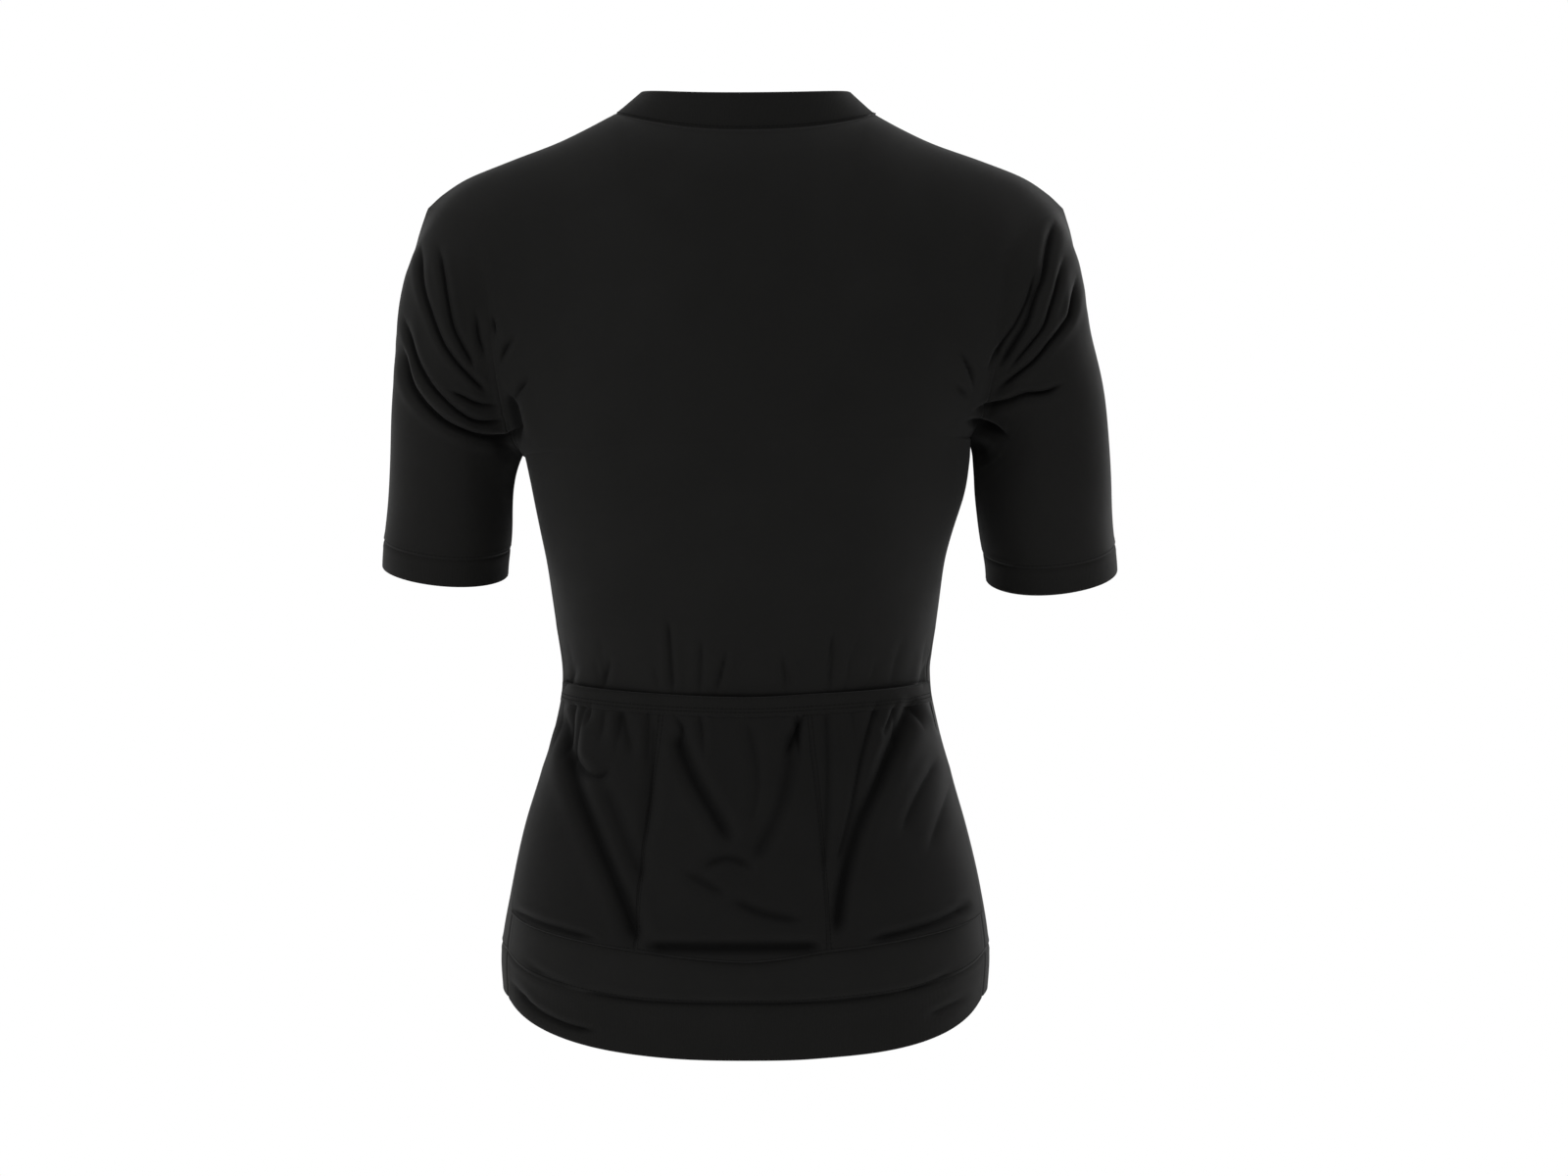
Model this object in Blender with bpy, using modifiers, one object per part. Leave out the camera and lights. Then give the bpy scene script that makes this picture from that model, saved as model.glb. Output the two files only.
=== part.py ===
"""Women's short-sleeve cycling jersey in the hollow form it keeps when worn.

Metres, +Z up. The zip is on the -Y side, the wearer's left is +X, and the
origin is the middle of the neck at the height where the shoulders start.
Every panel is a wall of cloth. Neighbouring panels share the points of their
seam and one mitre along it, and each stops half a seam gap short of it.
"""
import math

import bmesh
import bpy
import numpy as np
from mathutils import Matrix, Vector

OBJECT_NAME = "cycling_jersey"

# Cloth
CLOTH = 0.0015
TAPE = 0.0010
SEAM_GAP = 0.0003
SHARPEST_MITRE = 0.3
SHARPEST_CORNER = -0.5
# Both edges of a seam cut their twisted rim along the same diagonal, chosen by this direction
RIM_CLIMB = (0.1, 0.3, 1.0)
SHARP_EDGE = 40

# Torso sections from hem to underarm. seam_turn is how far the side seam sits behind the widest line.
TORSO_COLUMNS = ("height", "half_width", "back", "front", "side", "squareness", "seam_turn")
TORSO = (
    (-0.630, 0.1590, 0.117, -0.109, 0.004, 2.25, 15),
    (-0.590, 0.1625, 0.117, -0.111, 0.003, 2.25, 15),
    (-0.560, 0.1640, 0.116, -0.112, 0.002, 2.25, 15),
    (-0.520, 0.1580, 0.108, -0.112, 0.000, 2.25, 15),
    (-0.480, 0.1490, 0.097, -0.110, -0.004, 2.25, 15),
    (-0.440, 0.1375, 0.084, -0.106, -0.009, 2.25, 14),
    (-0.410, 0.1285, 0.077, -0.104, -0.012, 2.25, 13),
    (-0.380, 0.1235, 0.076, -0.104, -0.013, 2.25, 12),
    (-0.345, 0.1280, 0.082, -0.108, -0.013, 2.30, 8),
    (-0.300, 0.1352, 0.094, -0.118, -0.012, 2.35, 3),
    (-0.260, 0.1427, 0.101, -0.125, -0.010, 2.40, 0),
    (-0.215, 0.1520, 0.105, -0.122, -0.007, 2.45, 0),
)

# Lines that run round the torso, hem upwards. rows is the number of facets up to the next line,
# and the sweeps say how early a line leaves the height of its side seam.
LINE_COLUMNS = ("side", "back", "front", "back_sweep", "front_sweep", "rows")
LINES = {
    "hem": (-0.591, -0.6236, -0.574, 2.8, 2.0, 2),
    "band_top": (-0.560, -0.5876, -0.546, 2.5, 2.0, 1),
    "pocket_foot": (-0.535, -0.5610, -0.526, 1.3, 2.0, 4),
    "binding_foot": (-0.394, -0.4034, -0.394, 1.5, 2.0, 1),
    "pocket_mouth": (-0.382, -0.3914, -0.382, 1.5, 2.0, 5),
    "underarm": (-0.224, -0.2240, -0.224, 1.0, 1.0, 9),
}

# Facets across each half panel: side seam to the neck corner, then to the centre line
SHOULDER_COLUMNS = 8
NECK_COLUMNS = 4

# Turn of the column that ends at the neck corner, round the torso from the widest line.
# On the back it is also the seam between two pockets, and the middle pocket sits off centre.
FRONT_NECK_TURN = 54
BACK_NECK_TURN = {"left": 67, "right": 74}

# Upper body
RIDGE_DEPTH = -0.004
BACK_ARCH = {"tip": 2.0, "centre": 2.4}
FRONT_ARCH = {"tip": 1.9, "centre": 1.3}
ARMHOLE_PULL = 2.0

# Shoulder seam from its tip to the neck, as x, y and z
SHOULDER_SEAM = (
    (0.214, -0.0040, -0.0630),
    (0.203, -0.0040, -0.0528),
    (0.186, -0.0035, -0.0420),
    (0.158, -0.0030, -0.0312),
    (0.128, -0.0030, -0.0205),
    (0.106, -0.0025, -0.0100),
    (0.088, -0.0020, 0.0000),
)
# Armhole seams from underarm to shoulder tip, as x, y and z
ARMHOLE = {
    "back": (
        (0.1500, -0.006, -0.224),
        (0.1575, 0.024, -0.211),
        (0.1640, 0.047, -0.181),
        (0.1675, 0.056, -0.146),
        (0.1715, 0.055, -0.112),
        (0.1840, 0.043, -0.086),
        (0.2030, 0.022, -0.069),
        (0.2140, -0.004, -0.063),
    ),
    "front": (
        (0.1500, -0.006, -0.224),
        (0.1565, -0.034, -0.210),
        (0.1615, -0.052, -0.179),
        (0.1645, -0.058, -0.144),
        (0.1690, -0.056, -0.111),
        (0.1820, -0.046, -0.086),
        (0.2020, -0.028, -0.069),
        (0.2140, -0.004, -0.063),
    ),
}

# Neck seam and collar edge: half width, depth and height at the side, centre back and centre front
NECK_RING_COLUMNS = ("half_width", "side_y", "side_z", "back_y", "back_z", "front_y", "front_z")
NECK_SEAM = (0.088, -0.002, 0.0000, 0.052, -0.0153, -0.068, -0.075)
COLLAR_EDGE = (0.071, -0.002, 0.0150, 0.047, 0.0090, -0.060, -0.053)
BACK_NECK_SWEEP = 1.7
FRONT_NECK_SWEEP = 1.4
COLLAR_ROWS = 2

# Arms: each sleeve hangs a little out and forward. Angles are in degrees.
ARM_COLUMNS = ("underarm", "cuff_x", "cuff_y", "cuff_z", "half_width", "half_depth", "lean")
ARM = {
    "left": (-0.230, 0.2027, -0.030, -0.3065, 0.0425, 0.049, 13),
    "right": (-0.218, 0.2050, -0.032, -0.3095, 0.0445, 0.050, 16),
}
ARM_OUT = 5
CUFF_DEPTH = 0.018
SLEEVE_ROWS = 12
CUFF_ROWS = 2
SLEEVE_HANDLE = 0.34
# Way the sleeve leaves the armhole: at its ends, and what is added halfway up the seam
SLEEVE_OUT = {"underarm": 0.46, "tip": 0.36, "halfway": 0.55}
SLEEVE_BULGE = 0.12
SLEEVE_DOWN = {"end": -1.0, "halfway": 0.75}

# Largest folds of each sleeve. They fan out of the underarm and die away at the outside of the arm.
FOLD_COLUMNS = ("place", "spread", "back", "front")
SLEEVE_FOLDS = {
    "left": (
        (0.84, 0.06, 0.0030, 0.0030),
        (0.56, 0.07, 0.0045, 0.0035),
    ),
    "right": (
        (0.90, 0.05, 0.0045, 0.0030),
        (0.70, 0.06, 0.0035, 0.0035),
    ),
}

# Pockets: clear depth at the middle of each mouth, and how square the bag of cloth is across
POCKET_GAPE = 0.0102
POCKET_FULLNESS = 0.6
POCKET_DROP_SHAPE = 0.7
POCKET_SIDE_INSET = 0.0012

# Zip
ZIP_HALF_SLOT = 0.0032
ZIP_HALF_CHAIN = 0.0028
TAPE_EDGE = 0.0016
TAPE_WIDTH = 0.0130
SLIDER_BELOW_TOP = 0.0085
SLIDER_HALF_WIDTH = 0.0045
SLIDER_LENGTH = 0.0110
SLIDER_PLATE = 0.0014
SLIDER_POST_WIDTH = 0.0024
SLIDER_POST_HEIGHT = 0.0050
SLIDER_PLAY = 0.0006
STOP_LENGTH = 0.0070
STOP_PROUD = 0.0008

# Pull tab and the bridge it hangs in
BRIDGE_WIDTH = 0.0024
BRIDGE_INNER = 0.0018
BRIDGE_BAR = 0.0012
PULL_STANDOFF = 0.0016
PULL_THICKNESS = 0.0016
PULL_BAR = 0.0018
PULL_EYE_WIDTH = 0.0034
PULL_EYE_HEIGHT = 0.0050
PULL_WIDTH = 0.0070
PULL_LENGTH = 0.0240
PULL_ROUND = 0.0016

# Materials: name, base colour and roughness
MATERIALS = {
    "fabric": ("jersey_knit", (0.0110, 0.0110, 0.0105), 0.75),
    "pocket": ("pocket_knit", (0.0090, 0.0090, 0.0088), 0.80),
    "band": ("elastic_band", (0.0120, 0.0120, 0.0115), 0.70),
    "tape": ("zip_tape", (0.0150, 0.0150, 0.0150), 0.80),
    "zip": ("zip_nylon", (0.0150, 0.0150, 0.0150), 0.40),
}
MERGE = 0.00001


def clear_scene():
    for item in list(bpy.data.objects):
        bpy.data.objects.remove(item, do_unlink=True)


def new_collection(name):
    group = bpy.data.collections.new(name)
    bpy.context.scene.collection.children.link(group)
    return group


def make_material(name, colour, roughness):
    material = bpy.data.materials.new(name)
    material.use_nodes = True
    shader = material.node_tree.nodes["Principled BSDF"]
    shader.inputs["Base Color"].default_value = (*colour, 1.0)
    shader.inputs["Roughness"].default_value = roughness
    shader.inputs["Metallic"].default_value = 0.0
    return material


# Curves through short tables -------------------------------------------------

def cubic(before, start, end, after, t):
    """Catmull-Rom value at t between start and end."""
    bend = 2 * before - 5 * start + 4 * end - after
    twist = 3 * start - before - 3 * end + after
    return 0.5 * (2 * start + t * (end - before + t * (bend + t * twist)))


def curve_at(rows, place):
    """Point at place (0 to 1) on the smooth curve through the rows."""
    points = np.array(rows, float)
    last = len(points) - 1
    scaled = min(max(place, 0.0), 1.0) * last
    k = min(int(scaled), last - 1)
    before = points[k - 1] if k > 0 else 2 * points[0] - points[1]
    after = points[k + 2] if k + 2 <= last else 2 * points[last] - points[last - 1]
    return cubic(before, points[k], points[k + 1], after, scaled - k)


def torso_at(height):
    """The torso's section sizes at a height, by name."""
    heights = [row[0] for row in TORSO]
    last = len(heights) - 1
    bounded = min(max(height, heights[0]), heights[last])
    k = min(int(np.searchsorted(heights, bounded, side="right")) - 1, last - 1)
    t = (bounded - heights[k]) / (heights[k + 1] - heights[k])
    return dict(zip(TORSO_COLUMNS, curve_at(TORSO, (k + t) / last)))


def mix(a, b, t):
    return a + (b - a) * t


def unit(vector):
    return vector / np.linalg.norm(vector)


# Torso -----------------------------------------------------------------------

def torso_point(height, turn):
    """Point of the torso at a turn in degrees: 0 at the widest line, 90 centre back, -90 centre front."""
    size = torso_at(height)
    power = 2 / size["squareness"]
    across = math.cos(math.radians(turn))
    along = math.sin(math.radians(turn))
    end = size["back"] if along > 0 else size["front"]
    x = size["half_width"] * max(across, 0.0) ** power
    y = size["side"] + (end - size["side"]) * abs(along) ** power
    return np.array((x, y, height))


def turn_at(face, side, u, height):
    """Turn round the torso of a half panel's column u, 0 at the side seam and 1 at the centre."""
    seam = torso_at(height)["seam_turn"]
    corner = SHOULDER_COLUMNS / (SHOULDER_COLUMNS + NECK_COLUMNS)
    at_corner = BACK_NECK_TURN[side] if face == "back" else -FRONT_NECK_TURN
    at_centre = 90 if face == "back" else -90
    if u < corner:
        return mix(seam, at_corner, u / corner)
    return mix(at_corner, at_centre, (u - corner) / (1 - corner))


def line_height(name, face, side, u):
    row = dict(zip(LINE_COLUMNS, LINES[name]))
    start = row["side"]
    if name == "underarm":
        start = dict(zip(ARM_COLUMNS, ARM[side]))["underarm"]
    return start + (row[face] - start) * (1 - (1 - u) ** row[face + "_sweep"])


def neck_point(ring, face, turn):
    """Point of the neck seam or the collar's edge: turn 0 at the side, 90 at the centre line."""
    size = dict(zip(NECK_RING_COLUMNS, ring))
    sweep = BACK_NECK_SWEEP if face == "back" else FRONT_NECK_SWEEP
    along = math.sin(math.radians(turn))
    x = size["half_width"] * math.cos(math.radians(turn))
    y = mix(size["side_y"], size[face + "_y"], along)
    z = mix(size["side_z"], size[face + "_z"], along ** sweep)
    return np.array((x, y, z))


def armhole_point(face, side, v):
    """Point of the armhole seam: v is 0 at the underarm and 1 at the shoulder tip."""
    point = curve_at(ARMHOLE[face], v)
    tip = ARMHOLE[face][-1][2]
    lowest = ARMHOLE[face][0][2]
    underarm = dict(zip(ARM_COLUMNS, ARM[side]))["underarm"]
    point[2] = tip + (point[2] - tip) * (underarm - tip) / (lowest - tip)
    return point


def upper_point(face, side, u, v):
    """Point above the underarm: v is 0 at the underarm line and 1 at the shoulder or neck seam."""
    corner = SHOULDER_COLUMNS / (SHOULDER_COLUMNS + NECK_COLUMNS)
    base = line_point("underarm", face, side, u)
    ridge = RIDGE_DEPTH
    if u <= corner:
        top = curve_at(SHOULDER_SEAM, u / corner)
        ridge = top[1]
    else:
        top = neck_point(NECK_SEAM, face, 90 * (u - corner) / (1 - corner))
    arch = BACK_ARCH if face == "back" else FRONT_ARCH
    power = mix(arch["tip"], arch["centre"], u)
    rise = base[1] - ridge
    share = (top[1] - ridge) / rise if u > corner else 0.0
    reach = math.acos(min(max(share, 0.0), 1.0) ** (power / 2))
    swing = v * reach
    point = np.array((
        mix(base[0], top[0], v),
        ridge + rise * max(math.cos(swing), 0.0) ** (2 / power),
        mix(base[2], top[2], (math.sin(swing) / math.sin(reach)) ** (2 / power)),
    ))
    if u >= corner:
        return point
    seam_side = upper_side(face, side, v)
    pull = (1 - u / corner) ** ARMHOLE_PULL
    return point + (armhole_point(face, side, v) - seam_side) * pull


def upper_side(face, side, v):
    """Where the side column would run if no armhole were cut."""
    base = line_point("underarm", face, side, 0.0)
    top = np.array(SHOULDER_SEAM[0])
    arch = BACK_ARCH if face == "back" else FRONT_ARCH
    swing = v * math.pi / 2
    power = 2 / arch["tip"]
    return np.array((
        mix(base[0], top[0], v),
        top[1] + (base[1] - top[1]) * max(math.cos(swing), 0.0) ** power,
        mix(base[2], top[2], math.sin(swing) ** power),
    ))


def line_point(name, face, side, u):
    height = line_height(name, face, side, u)
    return torso_point(height, turn_at(face, side, u, height))


def panel_point(face, side, u, w):
    """Point of a half panel: whole numbers of w are the lines, hem upwards, and the last is the top."""
    names = list(LINES)
    k = min(int(w), len(names) - 1)
    if k == len(names) - 1:
        return upper_point(face, side, u, w - k)
    low = line_height(names[k], face, side, u)
    high = line_height(names[k + 1], face, side, u)
    height = mix(low, high, w - k)
    return torso_point(height, turn_at(face, side, u, height))


def row_places():
    """Every row's place up a panel, and the row number of each line."""
    places = []
    first_row = {}
    for k, (name, line) in enumerate(LINES.items()):
        rows = dict(zip(LINE_COLUMNS, line))["rows"]
        first_row[name] = len(places)
        places += [k + i / rows for i in range(rows)]
    first_row["top"] = len(places)
    return places + [len(LINES)], first_row


def half_panel(face, side, places):
    """Grid of a half panel on the +X side: rows upwards, columns from side seam to centre."""
    columns = SHOULDER_COLUMNS + NECK_COLUMNS
    return np.array([[panel_point(face, side, j / columns, w) for j in range(columns + 1)] for w in places])


def mirrored(grid):
    """The grid on the other side of the centre plane, its columns turned round so that it still faces out."""
    return (grid * np.array((-1, 1, 1)))[:, ::-1]


# Sleeves and collar ------------------------------------------------------------

def cuff_frame(side):
    """Direction of the arm, and the cuff's outward and backward directions."""
    size = dict(zip(ARM_COLUMNS, ARM[side]))
    out = math.radians(ARM_OUT)
    lean = math.radians(size["lean"])
    down = unit(np.array((math.tan(out), -math.tan(lean), -1.0)))
    outward = unit(np.array((1.0, 0.0, 0.0)) - down[0] * down)
    return down, outward, np.cross(outward, down)


def cuff_point(side, turn, up):
    """Point on the cuff: turn 0 outside, 90 at the back, and up along the arm from its edge."""
    size = dict(zip(ARM_COLUMNS, ARM[side]))
    down, outward, backward = cuff_frame(side)
    centre = np.array((size["cuff_x"], size["cuff_y"], size["cuff_z"]))
    angle = math.radians(turn)
    ring = outward * size["half_width"] * math.cos(angle) + backward * size["half_depth"] * math.sin(angle)
    return centre + ring - down * up


def sleeve_point(side, face, v, t):
    """Point of a sleeve: v round it as on the armhole, t is 0 at the cuff seam and 1 at the armhole."""
    head = armhole_point(face, side, v)
    sign = 1 if face == "back" else -1
    foot = cuff_point(side, sign * 180 * (1 - v), CUFF_DEPTH)
    halfway = math.sin(math.pi * v)
    leave = unit(np.array((
        mix(SLEEVE_OUT["underarm"], SLEEVE_OUT["tip"], v) + SLEEVE_OUT["halfway"] * halfway,
        sign * SLEEVE_BULGE * halfway,
        SLEEVE_DOWN["end"] + SLEEVE_DOWN["halfway"] * halfway,
    )))
    handle = SLEEVE_HANDLE * np.linalg.norm(head - foot)
    above = foot - cuff_frame(side)[0] * handle
    below = head + leave * handle
    s = 1 - t
    return s ** 3 * foot + 3 * s * s * t * above + 3 * s * t * t * below + t ** 3 * head


def round_the_arm():
    """Faces and places round the armhole, from the underarm over the front to the tip and down the back."""
    steps = dict(zip(LINE_COLUMNS, LINES["underarm"]))["rows"]
    front = [("front", i / steps) for i in range(steps)]
    back = [("back", i / steps) for i in range(steps, 0, -1)]
    return front + back


def fold_depth(side, face, v, t):
    """How far the sleeve's folds sink at a place on it."""
    across = math.sin(math.pi * v)
    rows = [dict(zip(FOLD_COLUMNS, row)) for row in SLEEVE_FOLDS[side]]
    return across * sum(row[face] * math.exp(-((t - row["place"]) / row["spread"]) ** 2) for row in rows)


def sleeve_grid(side):
    places = [i / SLEEVE_ROWS for i in range(SLEEVE_ROWS + 1)]
    around = round_the_arm()
    smooth = np.array([[sleeve_point(side, face, v, t) for face, v in around] for t in places])
    depths = np.array([[fold_depth(side, face, v, t) for face, v in around] for t in places])
    depths[[0, -1]] = 0.0
    return smooth - grid_normals(smooth, True) * depths[:, :, None]


def cuff_grid(side):
    rows = [CUFF_DEPTH * i / CUFF_ROWS for i in range(CUFF_ROWS + 1)]
    turns = [(180 if face == "back" else -180) * (1 - v) for face, v in round_the_arm()]
    return np.array([[cuff_point(side, turn, up) for turn in turns] for up in rows])


def collar_grid():
    """Stand collar from its left front end round the back to its right front end."""
    turns = [("front", 90 * (1 - i / NECK_COLUMNS)) for i in range(NECK_COLUMNS)]
    turns += [("back", 90 * i / NECK_COLUMNS) for i in range(NECK_COLUMNS + 1)]
    rows = []
    for i in range(COLLAR_ROWS + 1):
        t = i / COLLAR_ROWS
        ring = [mix(neck_point(NECK_SEAM, f, a), neck_point(COLLAR_EDGE, f, a), t) for f, a in turns]
        rows.append(ring)
    half = np.array(rows)
    half[:, 0, 0] = ZIP_HALF_SLOT
    return np.concatenate((half, mirrored(half)[:, 1:]), axis=1)


# Walls of cloth ----------------------------------------------------------------

def grid_normals(grid, ring):
    """Unit outward normal at each point of a grid whose columns run left to right seen from outside."""
    up = np.gradient(grid, axis=0)
    if ring:
        over = np.roll(grid, -1, axis=1) - np.roll(grid, 1, axis=1)
    else:
        over = np.gradient(grid, axis=1)
    normals = np.cross(over, up)
    return normals / np.linalg.norm(normals, axis=2, keepdims=True)


def mitres(panels):
    """Each panel's outward direction at each point, shared and lengthened where panels meet at a seam."""
    normals = {name: grid_normals(grid, ring) for name, (grid, ring) in panels.items()}
    meeting = {}
    for name, (grid, _) in panels.items():
        for place in np.ndindex(grid.shape[:2]):
            key = tuple(np.round(grid[place] / MERGE).astype(int))
            meeting.setdefault(key, []).append(normals[name][place])
    result = {}
    for name, (grid, _) in panels.items():
        directions = np.empty_like(grid)
        for place in np.ndindex(grid.shape[:2]):
            shared = meeting[tuple(np.round(grid[place] / MERGE).astype(int))]
            middle = unit(np.sum(shared, axis=0))
            least = min(float(middle @ normal) for normal in shared)
            directions[place] = middle / max(least, SHARPEST_MITRE)
        result[name] = directions
    return result


def seam_clearance(grid, directions, ring):
    """How far each point of a grid moves so that its open edges stop half a seam gap short.

    A direction is longer where a seam folds sharply, and the edge then draws back further.
    """
    rows, columns = grid.shape[:2]
    points = grid.reshape(-1, 3)
    out = directions.reshape(-1, 3)
    moves = np.zeros_like(points)
    for loop in border_loops(rows, columns, ring):
        for before, here, after in zip(loop[-1:] + loop[:-1], loop, loop[1:] + loop[:1]):
            inward = [unit(np.cross(out[here], points[b] - points[a])) for a, b in ((before, here), (here, after))]
            share = 1 + max(float(inward[0] @ inward[1]), SHARPEST_CORNER)
            moves[here] = (inward[0] + inward[1]) / share * np.linalg.norm(out[here]) * SEAM_GAP / 2
    return moves.reshape(grid.shape)


def grid_faces(grid, ring):
    """Triangles of a grid, facing out. Every diagonal climbs away from the centre plane, so layers
    that share points stay parallel and the corner under each arm folds the right way."""
    rows, columns = grid.shape[:2]
    faces = []
    for r in range(rows - 1):
        for c in range(columns if ring else columns - 1):
            after = (c + 1) % columns
            a, b = r * columns + c, r * columns + after
            e, d = b + columns, a + columns
            if abs(grid[r, c, 0]) > abs(grid[r, after, 0]):
                faces += [(a, b, d), (b, e, d)]
            else:
                faces += [(a, b, e), (a, e, d)]
    return faces


def border_loops(rows, columns, ring):
    """Point numbers along the open edges of a grid, in the order that its faces follow."""
    bottom = list(range(columns))
    top = [(rows - 1) * columns + c for c in range(columns)]
    if ring:
        return [bottom, top[::-1]]
    right = [r * columns + columns - 1 for r in range(1, rows)]
    left = [r * columns for r in range(rows - 2, 0, -1)]
    return [bottom + right + top[-2::-1] + left]


def make_wall(name, outer, inner, ring, material, group):
    """Closed solid between two grids of the same layout."""
    rows, columns = outer.shape[:2]
    count = rows * columns
    skin = grid_faces(outer, ring)
    faces = skin + [tuple(count + k for k in reversed(face)) for face in skin]
    points = np.concatenate((outer.reshape(-1, 3), inner.reshape(-1, 3)))
    for loop in border_loops(rows, columns, ring):
        for a, b in zip(loop, loop[1:] + loop[:1]):
            if float((points[b] - points[a]) @ RIM_CLIMB) > 0:
                faces += [(b, a, a + count), (b, a + count, b + count)]
            else:
                faces += [(b, a, b + count), (a, a + count, b + count)]
    mesh = bpy.data.meshes.new(name)
    mesh.from_pydata(points.tolist(), [], faces)
    mesh.materials.append(material)
    mesh.shade_smooth()
    mesh.set_sharp_from_angle(angle=math.radians(SHARP_EDGE))
    piece = bpy.data.objects.new(name, mesh)
    group.objects.link(piece)
    return piece


# The cut pieces ------------------------------------------------------------------

def body_grids():
    """Whole back and both fronts, hem to shoulder, each facing out."""
    places, first_row = row_places()
    back_left = half_panel("back", "left", places)
    back_right = mirrored(half_panel("back", "right", places))
    back = np.concatenate((back_left, back_right[:, 1:]), axis=1)
    fronts = {}
    for side in ("left", "right"):
        half = half_panel("front", side, places)
        half[:, -1, 0] = ZIP_HALF_SLOT
        half = half[:, ::-1]
        fronts[side] = half if side == "left" else mirrored(half)
    return back, fronts, first_row


def sewn_panels():
    """Every panel that meets another edge to edge: its grid, and whether it closes round an arm."""
    back, fronts, row = body_grids()
    band = row["band_top"]
    panels = {
        "back_panel": (back[band:], False),
        "hem_band_back": (back[:band + 1], False),
        "collar": (collar_grid(), False),
    }
    for side in ("left", "right"):
        front = fronts[side]
        sleeve = sleeve_grid(side)
        cuff = cuff_grid(side)
        if side == "right":
            sleeve = mirrored(sleeve)
            cuff = mirrored(cuff)
        panels["front_" + side] = (front[band:], False)
        panels["hem_band_front_" + side] = (front[:band + 1], False)
        panels["sleeve_" + side] = (sleeve, True)
        panels["cuff_" + side] = (cuff, True)
    return panels, row


def add_sewn_panels(panels, directions, materials, group):
    for name, (grid, ring) in panels.items():
        outer = grid + seam_clearance(grid, directions[name], ring)
        inner = outer - directions[name] * CLOTH
        banded = name.startswith(("hem_band", "cuff", "collar"))
        make_wall(name, outer, inner, ring, materials["band" if banded else "fabric"], group)


def pocket_lift(rows, columns):
    """Clear space under a pocket: nothing at its foot and sides, the whole gape at the middle of its mouth."""
    up = np.linspace(0, 1, rows)[:, None] ** POCKET_DROP_SHAPE
    across = np.sin(np.linspace(0, math.pi, columns))[None, :] ** POCKET_FULLNESS
    return SEAM_GAP + POCKET_GAPE * up * across


def add_pockets(back, directions, row, materials, group):
    """Three pockets side by side on the back panel, and the one binding that closes their mouths."""
    low = row["pocket_foot"] - row["band_top"]
    binding = row["binding_foot"] - row["band_top"]
    mouth = row["pocket_mouth"] - row["band_top"]
    whole = 2 * (SHOULDER_COLUMNS + NECK_COLUMNS)
    edges = (0, SHOULDER_COLUMNS, whole - SHOULDER_COLUMNS, whole)
    lifts = np.zeros((mouth - low + 1, whole + 1))
    for first, last in zip(edges, edges[1:]):
        lifts[:, first:last + 1] = pocket_lift(mouth - low + 1, last - first + 1)
    points = back[low:mouth + 1].copy()
    out = directions[low:mouth + 1]
    for edge, beside in ((0, 1), (-1, -2)):
        way = points[:, beside] - points[:, edge]
        points[:, edge] += way / np.linalg.norm(way, axis=1, keepdims=True) * POCKET_SIDE_INSET
    names = ("pocket_left", "pocket_centre", "pocket_right")
    for name, first, last in zip(names, edges, edges[1:]):
        span = slice(first, last + 1)
        base = points[:, span] + seam_clearance(points[:, span], out[:, span], False)
        inner = base + out[:, span] * lifts[:, span, None]
        outer = inner + out[:, span] * CLOTH
        make_wall(name, outer, inner, False, materials["pocket"], group)
    strip = slice(binding - low, mouth - low + 1)
    inner = points[strip] + out[strip] * (lifts[strip, :, None] + CLOTH + SEAM_GAP)
    outer = inner + out[strip] * TAPE
    make_wall("pocket_binding", outer, inner, False, materials["band"], group)


# Zip ---------------------------------------------------------------------------

def zip_line(panels, directions, side):
    """Points and outward directions of the front edge and of the next column, hem to collar top."""
    edge, beside = (0, 1) if side == "left" else (-1, -2)
    stretches = (
        ("hem_band_front_" + side, slice(0, -1)),
        ("front_" + side, slice(0, -1)),
        ("collar", slice(0, None)),
    )
    line = []
    for name, rows in stretches:
        grid = panels[name][0][rows]
        out = directions[name][rows]
        line.append((grid[:, edge], grid[:, beside], out[:, edge], out[:, beside]))
    return [np.concatenate(parts) for parts in zip(*line)]


def across_the_edge(line, x):
    """The front's surface at a distance x from the centre plane, continued past its edge."""
    edge, beside, out_edge, out_beside = line
    share = ((x - np.abs(edge[:, 0])) / (np.abs(beside[:, 0]) - np.abs(edge[:, 0])))[:, None]
    return mix(edge, beside, share), mix(out_edge, out_beside, share)


def add_tape(side, line, material, group):
    near, out_near = across_the_edge(line, TAPE_EDGE)
    far, out_far = across_the_edge(line, TAPE_WIDTH)
    order = (near, far) if side == "left" else (far, near)
    outs = (out_near, out_far) if side == "left" else (out_far, out_near)
    surface = np.stack(order, axis=1)
    out = np.stack(outs, axis=1)
    outer = surface - out * (CLOTH + SEAM_GAP)
    inner = outer - out * TAPE
    make_wall("zip_tape_" + side, outer, inner, False, material, group)


def centre_line(line):
    """Middle of the zip at the cloth's outer surface, and its outward direction in the centre plane."""
    points, _ = across_the_edge(line, 0.0)
    points[:, 0] = 0.0
    slope = np.gradient(points, axis=0)
    out = np.stack((np.zeros(len(points)), -slope[:, 2], slope[:, 1]), axis=1)
    return points, out / np.linalg.norm(out, axis=1, keepdims=True)


def line_length(points):
    return float(np.sum(np.linalg.norm(np.diff(points, axis=0), axis=1)))


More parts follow.
